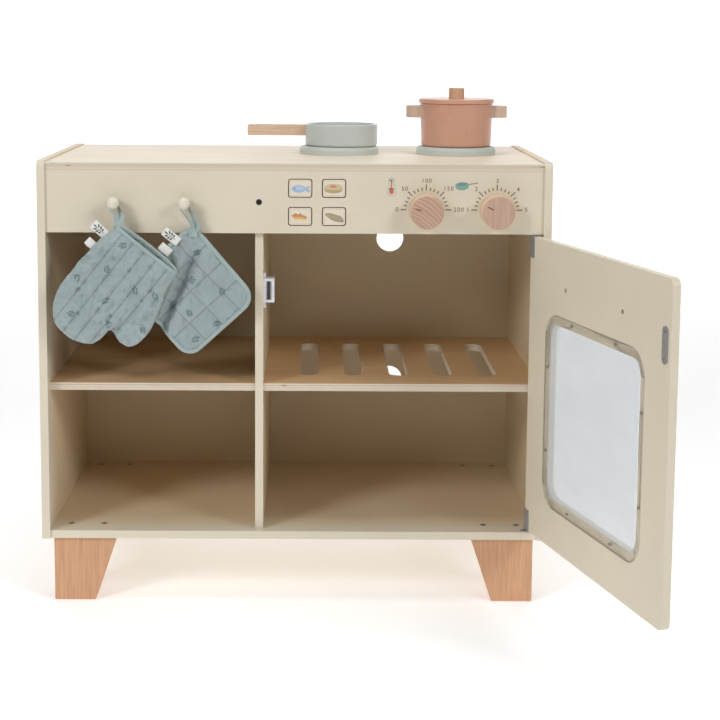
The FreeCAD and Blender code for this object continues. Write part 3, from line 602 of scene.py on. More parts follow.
# ---------------------------------------------------------------- knobs and dials
knob_low, knob_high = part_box("temperature_knob")
diagonal = beech("knob_wood_ringed", colour(206, 170, 150), 0, 0.3, 0.3, 4.4 * MM,
                 math.radians(-36), rim=colour(226, 196, 164),
                 middle=(knob_low + knob_high) / 2)
upright = beech("knob_wood_fine", colour(202, 168, 150), 2, 1.7, 0.4,
                rim=colour(226, 196, 164))
burnt = printed("burnt_mark", colour(134, 78, 54))
ink = printed("dial_ink", colour(122, 96, 84))
panel_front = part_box("control_panel")[0].y / MM
TICK_START, TICK_SHORT, TICK_LONG = 22.7, 26.4, 29.8  # how far from the knob's middle
TICK_STEP = 11.25                                     # degrees from one tick to the next
dial_centre = {}
for knob, body, wood, angle in (("temperature_knob", "temperature_knob_body", diagonal, 162.0),
                                ("hob_knob", "hob_knob_body", upright, 151.5)):
    eased(knob, body, wood, 0.3)
    low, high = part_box(knob)
    x, z = middle_of(low, high)
    a = math.radians(angle)
    mark = bar(x + 10.7 * math.cos(a), z + 10.7 * math.sin(a), 7.6, 1.5, low.y / MM - 0.04,
               angle - 180)
    ink_on(knob + "_mark", body, burnt, mark)
    dial_centre[knob] = (x, z + 1)

for knob, labels, offsets in (
        ("temperature_knob", ("0", "50", "100", "150", "200"),
         ((-33.6, 0), (-24.9, 24.4), (0.4, 33.8), (26.0, 24.7), (38.2, 0.2))),
        ("hob_knob", ("1", "2", "3", "4", "5"),
         ((-33.8, 0.2), (-24.2, 24.2), (0.2, 34.0), (24.6, 24.1), (34.2, 0.4)))):
    x, z = dial_centre[knob]
    parts = []
    for step in range(17):
        a = math.radians(180 - TICK_STEP * step)
        outer = TICK_LONG if step % 4 == 0 else TICK_SHORT
        middle = (TICK_START + outer) / 2
        parts.append(bar(x + middle * math.cos(a), z + middle * math.sin(a), outer - TICK_START,
                         1.3, panel_front - 0.04, math.degrees(a)))
    for words, (dx, dz) in zip(labels, offsets):
        parts.append(digits(words, x + dx, z + dz, 5.0, panel_front - 0.04))
    ink_on(knob + "_dial", "cabinet", ink, *parts)

# The small thermometer and pan between the dials, each layer a little nearer than the last.
x, z, y = 72.6, 495.9, panel_front
ink_on("thermometer_outline", "cabinet", printed("sage_ink", colour(150, 168, 160)),
       spot(x, z, 10.2, 10.2, y - 0.03), bar(x, z + 8.2, 6.4, 12, y - 0.03),
       spot(x, z + 14, 6.4, 5, y - 0.03))
ink_on("thermometer_ground", "cabinet", cream_panel,
       spot(x, z, 8.9, 8.9, y - 0.05), bar(x, z + 8.2, 5.1, 12, y - 0.05),
       spot(x, z + 14, 5.1, 3.8, y - 0.05))
ink_on("thermometer_red", "cabinet", printed("red_ink", colour(200, 106, 84)),
       spot(x, z, 5.6, 5.6, y - 0.07), bar(x, z + 6.2, 1.5, 10, y - 0.07))
ink_on("thermometer_tip", "cabinet", printed("grey_ink", colour(120, 140, 142)),
       bar(x, z + 12.4, 1.2, 3.2, y - 0.07))

x, z = 154.6, 502.6
ink_on("pan_picture_bowl", "cabinet", printed("teal_ink", colour(128, 165, 158)),
       spot(x, z, 15.8, 9.2, y - 0.04, 2), spot(x, z + 1.6, 16.0, 6.6, y - 0.05, 3))
ink_on("pan_picture_inside", "cabinet", printed("deep_teal_ink", colour(112, 146, 140)),
       spot(x, z + 2.3, 12.6, 3.6, y - 0.07, 3))
ink_on("pan_picture_handle", "cabinet", printed("taupe_ink", colour(166, 142, 134)),
       bar(x + 13.1, z + 3.1, 11.4, 1.5, y - 0.04, 11))

# ---------------------------------------------------------------- picture buttons
cap_paint = painted("button_cream", colour(228, 221, 203), 0.42, 0.15)
pink = printed("pink_ink", colour(222, 176, 162))


def picture(button, layers, face):
    """Flat printed shapes on a button's face, one piece for each ink."""
    level = face - 0.04
    for ink_name, tone, shapes in layers:
        parts = []
        for kind, dx, dz, w, h, turn in shapes:
            level -= 0.012
            if kind == "bar":
                parts.append(bar(dx, dz, w, h, level, turn))
            elif kind == "wedge":
                parts.append(spot(dx, dz, w, h, level, turn, 3))
            else:
                parts.append(spot(dx, dz, w, h, level, turn))
        ink_on(f"{button}_picture_{ink_name}", button + "_button",
               printed(f"{button}_{ink_name}", tone), *parts)


CAP_FIT = 0.966           # the caps are drawn this much smaller, for the gap the windows show
LINE = 0.55               # width of the pink line round a button's face
for name in ("fish", "cake", "pie", "bread"):
    cap = eased("button_" + name, name + "_button", cap_paint, 0.5)
    low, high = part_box("button_" + name)
    cap.location = (low + high) / 2 * (1 - CAP_FIT)
    cap.scale = (CAP_FIT, 1, CAP_FIT)
    cap.location.y = 0
    settle(cap)
    coil = "button_spring_" + name
    spring = add_mesh(name + "_spring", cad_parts[coil].data.copy())
    show(spring, "cabinet", zinc, (coil,))
    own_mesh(spring)
    (x, z), face = middle_of(low, high), low.y / MM
    w, h = 23.2, 17.2
    lines = [bar(x, z + way * h / 2, w - 2, LINE, face - 0.03) for way in (-1, 1)]
    lines += [bar(x + way * w / 2, z, LINE, h - 2, face - 0.034) for way in (-1, 1)]
    for sx in (-1, 1):
        for sz in (-1, 1):
            lines.append(bar(x + sx * (w / 2 - 0.5), z + sz * (h / 2 - 0.5), 1.5, LINE,
                             face - 0.038, -45 * sx * sz))
    ink_on(name + "_button_line", name + "_button", pink, *lines)

button_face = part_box("button_fish")[0].y / MM
picture("fish", (
    ("body", colour(160, 186, 214), (("spot", -35.4, 498.7, 16.6, 8.9, 0),
                                     ("bar", -27.6, 498.5, 4.4, 3.0, 0),
                                     ("spot", -24.9, 500.2, 5.4, 2.9, 38),
                                     ("spot", -24.9, 496.8, 5.4, 2.9, -38))),
    ("light", colour(180, 202, 226), (("spot", -34.4, 499.6, 9.6, 4.2, 0),)),
    ("eye", colour(96, 106, 132), (("spot", -39.8, 499.2, 1.5, 1.5, 0),))), button_face)
picture("cake", (
    ("base", colour(184, 160, 120), (("spot", 5.3, 497.4, 20.6, 7.2, 0),
                                     ("bar", 5.3, 499.2, 20.6, 3.6, 0))),
    ("cream", colour(214, 168, 140), (("bar", 5.3, 498.4, 20.4, 1.3, 0),)),
    ("top", colour(200, 188, 140), (("spot", 5.3, 501.2, 20.6, 7.2, 0),)),
    ("berry", colour(208, 122, 136), (("spot", 5.0, 501.5, 8.4, 2.6, 0),
                                      ("spot", 4.8, 502.4, 4.2, 2.0, 0)))), button_face)
picture("pie", (
    ("slice", colour(226, 208, 158), (("bar", -33.6, 462.7, 15.4, 3.4, -3),)),
    ("filling", colour(214, 164, 96), (("bar", -33.4, 464.4, 15.4, 1.4, -4),
                                       ("bar", -34.6, 466.4, 15.4, 1.5, -4))),
    ("crust", colour(198, 138, 92), (("wedge", -34.6, 467.6, 15.8, 7.2, 0),
                                     ("bar", -30.4, 466.8, 9.2, 2.6, -20),
                                     ("bar", -39.6, 468.4, 7.4, 2.6, 26))),
    ("topping", colour(238, 234, 224), (("spot", -36.0, 470.4, 3.2, 2.6, 0),
                                       ("spot", -37.3, 471.5, 1.5, 2.0, 0)))), button_face)
picture("bread", (
    ("shadow", colour(140, 122, 100), (("spot", 7.6, 464.6, 20.6, 6.8, -19),)),
    ("loaf", colour(170, 154, 130), (("spot", 6.4, 465.9, 22.6, 6.6, -19),
                                     ("spot", -0.4, 468.4, 7.4, 4.8, -8),
                                     ("spot", 5.4, 467.0, 7.8, 5.2, -16),
                                     ("spot", 11.8, 464.2, 8.6, 6.8, -24))),
    ("cuts", colour(146, 128, 106), (("bar", 2.8, 468.8, 0.7, 2.8, -34),
                                     ("bar", 8.6, 467.0, 0.7, 2.8, -34)))), button_face)

# ---------------------------------------------------------------- cookware
sage = painted("sage_paint", SAGE, 0.32, 0.03)
terracotta = painted("terracotta_paint", TERRACOTTA, 0.3, 0.03)
disc_paint = painted("hob_disc_paint", colour(192, 200, 193), 0.45, 0.2)
for name in ("hob_disc_left", "hob_disc_right"):
    eased(name, "cabinet", disc_paint, 0.3)


def turned_shape(name, axis, profile, sides=112):
    """A turned piece: a one-point mesh drawn out along its profile, then spun about its axis.
    Profile points are (radius, height) from the axis point, in metres."""
    bpy.ops.object.select_all(action="DESELECT")
    bpy.ops.mesh.primitive_plane_add(size=0.001, location=(0, 0, 0))
    o = bpy.context.object
    edit(o)
    bpy.ops.mesh.merge(type="CENTER")
    here = Vector((0, 0, 0))
    first = Vector((axis.x + profile[0][0], axis.y, axis.z + profile[0][1]))
    bpy.ops.transform.translate(value=first - here)
    here = first
    for radius, height in profile[1:]:
        there = Vector((axis.x + radius, axis.y, axis.z + height))
        bpy.ops.mesh.extrude_region_move(TRANSFORM_OT_translate={"value": there - here})
        here = there
    bpy.ops.mesh.select_all(action="SELECT")
    bpy.ops.mesh.spin(steps=sides, angle=math.tau, center=axis, axis=(0, 0, 1))
    bpy.ops.mesh.select_all(action="SELECT")
    bpy.ops.mesh.remove_doubles(threshold=0.00002)
    bpy.ops.mesh.normals_make_consistent(inside=False)
    close_edit()
    bpy.ops.object.shade_smooth_by_angle(angle=math.radians(32))
    o.name = name
    o.data.name = name
    settle(o)
    return o


def arc(centre_r, centre_h, radius, start, end, steps=6):
    """Points of a rounded corner in a turned profile, angles in degrees."""
    points = []
    for i in range(steps + 1):
        a = math.radians(start + (end - start) * i / steps)
        points.append((centre_r + radius * math.cos(a), centre_h + radius * math.sin(a)))
    return points


def vessel(node, body, material, top_radius, base_radius):
    """A pan or pot with a thick turned wall, a rounded lip and a rounded base."""
    low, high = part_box(node)
    axis = Vector(((low.x + high.x) / 2, (low.y + high.y) / 2, low.z))
    tall = high.z - low.z
    wall, floor = 4.2 * MM, 5 * MM
    lip, foot, corner = 1.2 * MM, 4 * MM, 3 * MM
    slope = (top_radius - base_radius) / tall
    inner = top_radius - wall
    profile = [(0, 0), (base_radius - foot, 0)]
    profile += arc(base_radius - foot, foot, foot, -80, 0)
    profile += [(base_radius + slope * tall * 0.5, tall * 0.5)]
    profile += arc(top_radius - lip, tall - lip, lip, 0, 90)
    profile += arc(inner + lip, tall - lip, lip, 90, 180)
    profile += [(inner - slope * tall * 0.5, tall * 0.5)]
    profile += arc(inner - slope * tall - corner, floor + corner, corner, 0, -90)
    profile += [(0, floor)]
    o = turned_shape(node + "_turned", axis, profile)
    return show(o, body, material, (node,))


vessel("pan_body", "pan", sage, 45.8 * MM, 45.8 * MM)
vessel("pot_body", "pot", terracotta, 45.5 * MM, 44.1 * MM)
eased("pot_lid", "lid", terracotta, 0.5)
speckled = beech("pan_handle_beech", colour(226, 196, 172), 0, 0.9, 0.7)
eased("pan_handle", "pan", speckled, 0.6)
eased("pot_handles", "pot", beech("pot_handle_beech", colour(214, 187, 168), 2, 0.5, 0.5),
      0.7)
eased("lid_knob", "lid", beech("lid_knob_beech", colour(216, 178, 146), 2, 2.2, 0.4), 0.3)

# ---------------------------------------------------------------- cloth
MITT_PEG, HOLDER_PEG = (-249.0, 483.0), (-167.3, 483.0)  # X and Z, millimetres
CUFF = Vector((MITT_PEG[0] + 39.5, -18.0, MITT_PEG[1] - 53.7)) * MM
MITT_TURN = math.radians(-38.5)
PAD = Vector((HOLDER_PEG[0] + 6.3, -5.1, HOLDER_PEG[1] - 103.7)) * MM
PAD_TURN = math.radians(-47.0)
MITT_OUTLINE = ((-42.6, 0), (-47, 11), (-50.8, 22), (-53.2, 41), (-55.2, 58), (-55.2, 76),
                (-54.8, 91), (-52.4, 105), (-46.2, 120.5), (-37, 131.5), (-26, 136.6),
                (-13.7, 138.8), (-0.4, 137.8), (11.8, 133.4), (20, 124), (24.2, 113),
                (25.6, 104), (27.4, 86), (30.6, 102), (37, 103.6), (47.5, 104.6),
                (57, 101.6), (63, 94.4), (65.4, 80.7), (64, 65), (60, 51.5), (54.4, 35.9),
                (50, 23.7), (45.4, 9), (43.4, 0))
QUILT = 16.4              # spacing of the mitt's quilting lines, the middle one at -QUILT_SHIFT
QUILT_SHIFT = 1.0
MITT_GROWTH = 3.0         # the slab starts this much inside its outline, and swells to it
MITT_BACK = 8.6           # the mitt stops here behind its middle, clear of the holder
CUFF_HALF = 44            # half the mitt's width at its mouth, and half its depth there
CUFF_DEPTH = 5.2
BACK_RISE = 5.2           # the back of the mouth stands this much above the front
BINDING_HALF = 42.9       # the same two halves for the tape round the mouth
BINDING_DEPTH = 5.6
HOLDER_FRONT = -8.9 * MM  # the holder stops here, clear of the mitt
PATCH = 27                # side of the holder's quilted squares
TAPE = 7.4                # width of the hanging loops
IN_FRONT = -60            # flat prints start here and are dropped on to the cloth


def curve_through(points, steps):
    """A smooth line through points, the ends included."""
    p = np.array(points, float)
    p = np.vstack([2 * p[0] - p[1], p, 2 * p[-1] - p[-2]])
    out = []
    for i in range(1, len(p) - 2):
        for t in np.linspace(0, 1, steps, endpoint=False):
            a, b, c, d = p[i - 1:i + 3]
            out.append(0.5 * (2 * b + (c - a) * t + (2 * a - 5 * b + 4 * c - d) * t * t
                              + (3 * b - a - 3 * c + d) * t ** 3))
    out.append(p[-2])
    return np.array(out)


class Hung:
    """A hanging piece's own plane, turned about the front: u across the piece and v along it,
    in millimetres from its origin. Way is -1 where v runs down."""

    def __init__(self, origin, turn, way):
        self.origin = origin
        self.way = way
        self.c, self.s = math.cos(turn), math.sin(turn)

    def place(self, u, v, y=0.0):
        """A point in metres."""
        v *= self.way
        return Vector((self.origin.x + (u * self.c - v * self.s) * MM, self.origin.y + y * MM,
                       self.origin.z + (u * self.s + v * self.c) * MM))

    def local(self, points):
        """u, v and the depth behind the origin of many points."""
        dx, dz = (points[:, 0] - self.origin.x) / MM, (points[:, 2] - self.origin.z) / MM
        return (dx * self.c + dz * self.s, (dz * self.c - dx * self.s) * self.way,
                (points[:, 1] - self.origin.y) / MM)


mitt_plane = Hung(CUFF, MITT_TURN, -1)
mitt_place, mitt_local = mitt_plane.place, mitt_plane.local
pad_plane = Hung(PAD, PAD_TURN, 1)
pad_place, pad_local = pad_plane.place, pad_plane.local


def flat_slab(name, ring, place, half):
    """A thin closed slab with the outline ring, for the cloth to swell from."""
    front = [place(a, b, -half) for a, b in ring]
    back = [place(a, b, half) for a, b in ring]
    n = len(ring)
    faces = [tuple(range(n)), tuple(reversed(range(n, 2 * n)))]
    faces += [(i, (i + 1) % n, n + (i + 1) % n, n + i) for i in range(n)]
    return shell(name, front + back, faces)


def points_of(o):
    flat = np.zeros(len(o.data.vertices) * 3)
    o.data.vertices.foreach_get("co", flat)
    return flat.reshape(-1, 3)


def set_points(o, points):
    o.data.vertices.foreach_set("co", points.astype(np.float32).ravel())
    o.data.update()


def swell(o, voxel, pressure, most, frames):
    """Fills a closed slab with air as cloth, keeps every point within most of its start."""
    modify(o, "REMESH", mode="VOXEL", voxel_size=voxel * MM)
    start = points_of(o)
    cloth = o.modifiers.new("cloth", "CLOTH")
    for key, value in (("quality", 6), ("mass", 0.3), ("tension_stiffness", 30),
                       ("compression_stiffness", 30), ("bending_stiffness", 0.6),
                       ("use_pressure", True), ("uniform_pressure_force", pressure)):
        setattr(cloth.settings, key, value)
    cloth.settings.effector_weights.gravity = 0
    cloth.point_cache.frame_end = frames
    for number in range(1, frames + 1):
        bpy.context.scene.frame_set(number)
    choose(o)
    bpy.ops.object.modifier_apply(modifier="cloth")
    bpy.context.scene.frame_set(1)
    moved = points_of(o) - start
    size = np.linalg.norm(moved, axis=1, keepdims=True)
    set_points(o, start + moved * np.minimum(1, most * MM / np.maximum(size, 1e-9)))
    modify(o, "SMOOTH", factor=0.5, iterations=4)


def ripples(points, seed, count, shortest, longest):
    """Soft uneven waves over points in a plane, about -1 to 1."""
    random = np.random.default_rng(seed)
    total = np.zeros(len(points))
    for _ in range(count):
        turn = random.uniform(0, math.tau)
        length = random.uniform(shortest, longest)
        phase = random.uniform(0, math.tau)
        total += np.sin((points[:, 0] * math.cos(turn) + points[:, 1] * math.sin(turn))
                        * math.tau / length + phase)
    return total / math.sqrt(count)


def widened(ring, extra):
    """A flat ring of points pushed outwards; it runs clockwise."""
    ring = np.array(ring, float)
    ahead = np.roll(ring, -1, 0) - np.roll(ring, 1, 0)
    ahead /= np.linalg.norm(ahead, axis=1, keepdims=True)
    return ring + np.stack([ahead[:, 1], -ahead[:, 0]], 1) * extra


def off_line(value, spacing):
    """The signed distance to the nearest of lines at this spacing."""
    count = value / spacing
    return (count - np.round(count)) * spacing


def groove(value, depth, width):
    return depth * np.exp(-(value / width) ** 2)


def pad_sway(x, z):
    """How far the pot holder hangs out of its plane, for offsets from its middle in mm."""
    fold = x - 3 - (z - 38) * 0.47
    free = np.clip((58 - z) / 26, 0, 1) * np.clip((z + 74) / 30, 0, 1)
    valleys = 10.0 * np.exp(-(fold / 6.5) ** 2) + 6.0 * np.exp(-((fold + 24) / 6) ** 2)
    ridges = 3.0 * np.exp(-((fold - 14) / 7) ** 2) + 3.6 * np.exp(-((fold + 12) / 5) ** 2)
    return (valleys - ridges) * free + 2.2 * np.sin(x / 20 + 0.6) * np.clip(-z / 60 + 0.6, 0, 1)


def pad_hang(points):
    """The pot holder's own weight draws it down and in a little, and lets it fold."""
    x, z = (points[:, 0] - PAD.x) / MM, (points[:, 2] - PAD.z) / MM
    points[:, 0] = PAD.x + x * 0.985 * MM
    points[:, 2] = PAD.z + (z * 1.03 - x * 0.07 - 1.2 * (1 - (x / 70) ** 2)) * MM
    points[:, 1] += (pad_sway(x, z) + 1.2) * MM
    return points


mitt_cloth = cotton("mitt_cotton", CLOTH, MITT_TURN,
                    (-QUILT_SHIFT * MM, QUILT * MM, 2.6), None, (CUFF.x, CUFF.z))
pad_cloth = cotton("holder_cotton", shaded(CLOTH, 0.97), PAD_TURN, (0.0, PATCH * MM, 1.6),
                   (0.0, PATCH * MM, 1.6), (PAD.x, PAD.z))
tape = cotton("binding_cotton", colour(160, 178, 178), MITT_TURN, None, None, (0, 0))


def make_mitt():
    ring = curve_through(MITT_OUTLINE, 6)
    closed = [tuple(q) for q in widened(ring, -MITT_GROWTH)] + [(42, -7), (-42, -7)]
    o = flat_slab("mitt", closed, mitt_place, 4.6)
    swell(o, 3.5, 4.0, 8, 20)
    modify(o, "SUBSURF", levels=2, render_levels=2)
    points = points_of(o)
    a, b, y = mitt_local(points)
    depth = 8.6 * np.tanh(y / 8.0)
    mouth = np.clip(1 - b / 24, 0, 1) ** 1.5
    bow = np.clip(1 - (a / CUFF_HALF) ** 2, 0, 1)
    cuff = CUFF_DEPTH * np.sqrt(bow) * np.sign(y)
    depth = depth * (1 - mouth) + cuff * mouth
    face = np.clip(np.abs(depth) / 4.0, 0, 1) * np.sign(depth)
    near = off_line(a + QUILT_SHIFT, QUILT)
    seam = groove(near, 1.7, 2.2) * (np.abs(a + QUILT_SHIFT) < QUILT * 2.7)
    flat = np.stack([a, b], 1)
    wrinkle = 1.2 * ripples(flat, 3, 9, 11, 28) + 0.75 * ripples(flat, 8, 9, 5.5, 11)
    pucker = 0.75 * np.sin(b / 1.3 + 2.4 * np.sin(a / 7)) * np.exp(-(near / 4.5) ** 2)
    pucker *= np.clip(0.5 + ripples(flat, 12, 7, 20, 50), 0, 1.4)
    crease = 1.5 * (0.5 - np.minimum(np.abs(ripples(flat, 21, 6, 18, 44)), 1))
    crotch = np.exp(-(((a - 27) / 17) ** 2 + ((b - 80) / 28) ** 2))
    pull = 2.0 * np.sin((a * 0.95 - (b - 96) * 0.15) / 2.8) * crotch
    pinch = 4.2 * np.exp(-(((a - 27 + (b - 98) * 0.22) / 2.8) ** 2)) \
        * np.clip((b - 58) / 30, 0, 1) * np.clip((118 - b) / 10, 0, 1)
    lift = (wrinkle + pucker + crease + pull) * (1 - mouth * 0.7) - seam - pinch
    points[:, 1] = CUFF.y + np.minimum(depth + face * lift, MITT_BACK) * MM
    set_points(o, points)
    # The closed end is cut away and the shell gets its thickness, which leaves the mouth open.
    edit(o)
    out = mitt_place(0, 0) - mitt_place(0, 1)
    bpy.ops.mesh.bisect(plane_co=mitt_place(0, 0.5), plane_no=out.normalized(),
                        clear_outer=True, clear_inner=False)
    close_edit()
    points = points_of(o)
    a, b, y = mitt_local(points)
    bow = np.clip(1 - (a / CUFF_HALF) ** 2, 0, 1)
    back = np.clip(y / 4, 0, 1) * np.clip(1 - b / 22, 0, 1) * bow
    up = np.array(mitt_place(0, -1) - mitt_place(0, 0))
    points += up[None, :] * (back * BACK_RISE)[:, None]
    set_points(o, points)
    modify(o, "SOLIDIFY", thickness=1.6 * MM, offset=-1)
    choose(o)
    bpy.ops.object.shade_smooth()
    show(o, "mitt", mitt_cloth, ("oven_mitt",))
    return o


def make_mitt_binding():
    """Tape folded over the cuff's edge, all the way round the mouth."""
    line, across, outward = [], [], []
    up = (mitt_place(0, -1) - mitt_place(0, 0)).normalized()
    side = (mitt_place(1, 0) - mitt_place(0, 0)).normalized()
    for i in range(72):
        t = math.tau * i / 72
        bow = math.sin(t)
        rise = -1.2 + (BACK_RISE * max(0.0, bow) ** 0.7)
        line.append(mitt_place(BINDING_HALF * math.cos(t), -rise, BINDING_DEPTH * bow))
        across.append(up)
        outward.append((side * (math.cos(t) / BINDING_HALF)
                        + Vector((0, 1, 0)) * (bow / BINDING_DEPTH)).normalized())
    profile = [(-2.1, 0.6), (-1.2, 0.95), (0.2, 1.0), (1.6, 0.85), (2.2, 0.2), (2.2, -1.0),
               (1.6, -1.7), (0.2, -1.9), (-1.2, -1.8), (-2.1, -1.4)]
    o = swept("mitt_binding", line, across, outward, profile)
    modify(o, "SUBSURF", levels=1, render_levels=1)
    return show(o, "mitt", tape)


def pad_ring(size, radius):
    """Points round a rounded square, with the outward direction at each."""
    flat = size / 2 - radius
    ring = []
    for quarter in range(4):
        turn = math.pi / 2 * quarter
        c, s = math.cos(turn), math.sin(turn)
        for k in range(9):
            t = math.pi / 2 * k / 8
            x, z = flat + radius * math.cos(t), flat + radius * math.sin(t)
            n = (math.cos(t), math.sin(t))
            ring.append((x * c - z * s, x * s + z * c, n[0] * c - n[1] * s, n[0] * s + n[1] * c))
        for k in range(1, 14):
            t = k / 14
            x, z = flat - 2 * flat * t, size / 2
            ring.append((x * c - z * s, x * s + z * c, -s, c))
    return ring


def make_holder():
    ring = [(u, v) for u, v, _, _ in pad_ring(109, 17)]
    o = flat_slab("holder", ring, pad_place, 1.9)
    swell(o, 3.0, 2.0, 1.5, 12)
    modify(o, "SUBSURF", levels=2, render_levels=2)
    points = points_of(o)
    u, v, y = pad_local(points)
    face = np.clip(np.abs(y) / 1.4, 0, 1) * np.sign(y)
    seam = 0
    for value in (u, v):
        near = off_line(value, PATCH)
        seam = np.maximum(seam, groove(near, 1.15, 1.7) * (np.abs(value) < PATCH * 1.6))
    flat = np.stack([u, v], 1)
    wrinkle = 0.8 * ripples(flat, 5, 9, 11, 30) + 0.42 * ripples(flat, 6, 9, 5.5, 11)
    wrinkle += 1.1 * (0.5 - np.minimum(np.abs(ripples(flat, 33, 6, 16, 40)), 1))
    puff = 0.7 * np.abs(np.sin(u / PATCH * math.pi)) * np.abs(np.sin(v / PATCH * math.pi))
    points[:, 1] += face * (wrinkle + puff - seam) * MM
    points = pad_hang(points)
    points[:, 1] = np.maximum(points[:, 1], HOLDER_FRONT)
    set_points(o, points)
    choose(o)
    bpy.ops.object.shade_smooth()
    show(o, "holder", pad_cloth, ("pot_holder",))
    return o


def make_holder_binding():
    line, across, outward = [], [], []
    for u, v, nu, nv in pad_ring(109.4, 17.5):
        at = Vector(pad_hang(np.array([pad_place(u, v)]))[0])
        at.y = max(at.y, HOLDER_FRONT + 3 * MM)
        line.append(at)
        across.append((pad_place(nu, nv) - pad_place(0, 0)).normalized())
        outward.append(Vector((0, 1, 0)))
    profile = [(-3.4, 2.3), (-2.0, 2.9), (0.0, 2.7), (1.5, 1.7), (1.9, 0.0), (1.5, -1.7),
               (0.0, -2.7), (-2.0, -2.9), (-3.4, -2.3)]
    o = swept("holder_binding", line, across, outward, profile)
    modify(o, "SUBSURF", levels=1, render_levels=1)
    return show(o, "holder", tape)


def make_loop(name, body, node, peg, foot, lean):
    """A hanging loop of folded tape: up one side, round behind the peg's ball and down."""
    x, z = peg
    fx, fy, fz = foot
    # x, y, z, and how far the tape's width has turned from the peg's axis towards the side
    route = [(fx - 1.4, fy, fz - 5.0, 80), (fx - 1.6, fy + 0.4, fz + 2.0, 74),
             (fx - 3.2 + lean, fy * 0.6 - 3.4, fz + 10.0, 46),
             (x - 4.9, -5.9, z - 7.0, 16), (x - 4.6, -5.8, z - 0.5, 0),
             (x - 3.2, -5.8, z + 3.6, 0), (x, -5.8, z + 4.9, 0), (x + 3.2, -5.8, z + 3.6, 0),
             (x + 4.7, -5.8, z - 0.5, 0), (x + 5.4, -6.0, z - 7.0, -28),
             (fx + 3.4 + lean, fy * 0.6 - 4.2, fz + 10.0, -62),
             (fx + 1.8, fy - 0.6, fz + 2.0, -80), (fx + 1.6, fy - 0.8, fz - 5.0, -84)]
    table = curve_through(route, 7)
    line = [Vector(row[:3]) * MM for row in table]
    across, outward = [], []
    for i, row in enumerate(table):
        ahead = line[min(i + 1, len(line) - 1)] - line[max(i - 1, 0)]
        ahead.normalize()
        axis = Vector((0, 1, 0))
        side = ahead.cross(axis).normalized()
        t = math.radians(row[3])
        width = (axis * math.cos(t) + side * math.sin(t))
        width = (width - ahead * width.dot(ahead)).normalized()
        across.append(width)
        outward.append(ahead.cross(width).normalized())
    w = TAPE / 2
    profile = [(-w, 0.2), (-w * 0.6, 0.5), (0, 0.45), (w * 0.6, 0.5), (w, 0.2), (w, -0.2),
               (w * 0.6, -0.5), (0, -0.45), (-w * 0.6, -0.5), (-w, -0.2)]
    o = swept(name, line, across, outward, profile, closed=False)
    modify(o, "SUBSURF", levels=1, render_levels=1)
    show(o, body, tape, (node,))
    return o


def sprig(place, turn, size):
    """A small leafy sprig of flat shapes in front of the cloth: a stem with leaves in pairs."""
    x, z = place
    leaves = [(0, 4.0, 90, 2.8), (-1.5, 2.7, 130, 2.7), (1.6, 2.3, 50, 2.7),
              (-1.7, 0.8, 145, 2.6), (1.6, 0.3, 35, 2.6), (-1.4, -1.0, 150, 2.2),
              (1.3, -1.5, 30, 2.0)]
    t = math.radians(turn)
    shapes = [spot(x + (dx * math.cos(t) - dz * math.sin(t)) * size,
                   z + (dx * math.sin(t) + dz * math.cos(t)) * size,
                   length * size, 1.15 * size, IN_FRONT, lean + turn, 10)
              for dx, dz, lean, length in leaves]
    shapes.append(spot(x + 0.4 * math.sin(t) * size, z - 0.4 * math.cos(t) * size, 7.2 * size,
                       0.42 * size, IN_FRONT, 90 + turn, 6))
    return shapes


def lay_on(o, target, lift):
    """Drops a flat shape from the front on to a soft piece, point by point."""
    edit(o)
    bpy.ops.mesh.quads_convert_to_tris(ngon_method="BEAUTY")
    close_edit()
    ray = Vector((0, 1, 0))
    missed = []
    for vertex in o.data.vertices:
        start = Vector((vertex.co.x, (IN_FRONT - 20) * MM, vertex.co.z))
        hit, at, _, _ = target.ray_cast(start, ray)
        if hit:
            vertex.co = at - ray * lift * MM
        else:
            missed.append(vertex.index)
    edit_some(o, "VERT", missed)
    bpy.ops.mesh.delete(type="VERT")
    close_edit()


print_ink = printed("sprig_ink", colour(92, 112, 114), 0.85)


def make_sprigs(name, body, target, places):
    parts = []
    for x, z, turn in places:
        parts += sprig((x, z), turn, 1.3)
    o = joined(name, parts)
    lay_on(o, target, 0.12)
    return show(o, body, print_ink)


tag_cloth = cotton("tag_ribbon", colour(232, 232, 228), 0.6, None, None, (0, 0))
tag_ink = printed("tag_ink", colour(96, 104, 104), 0.85)


def make_tag(name, body, root, length, width, turn, sprigged):
    """A folded ribbon tag that sticks out of a seam; root is where it leaves the seam."""
    x, y, z = root
    t = math.radians(turn)
    along = Vector((math.cos(t), 0, math.sin(t)))
    side = Vector((-math.sin(t), 0, math.cos(t)))
    line, across, outward = [], [], []
    for k in range(9):
        s = k / 8
        line.append(Vector((x, y, z)) * MM + along * (s * length - 3) * MM
                    + Vector((0, 1, 0)) * (-1.3 * math.sin(s * 2.6)) * MM)
        across.append(side)
        outward.append(Vector((0, 1, 0)))
    w = width / 2
    profile = [(-w, -0.35), (0, -0.42), (w, -0.35), (w, 0.35), (0, 0.42), (-w, 0.35)]
    o = swept(name, line, across, outward, profile, closed=False)
    modify(o, "BEVEL", width=0.15 * MM, segments=2, limit_method="ANGLE")
    show(o, body, tag_cloth)
    if sprigged:
        middle = Vector((x, y, z)) + along * (length * 0.42 - 1)
        mark = joined(name + "_sprig", sprig((middle.x, middle.z), turn - 90, 1.75))
        lay_on(mark, o, 0.1)
        show(mark, body, tag_ink)
    return o


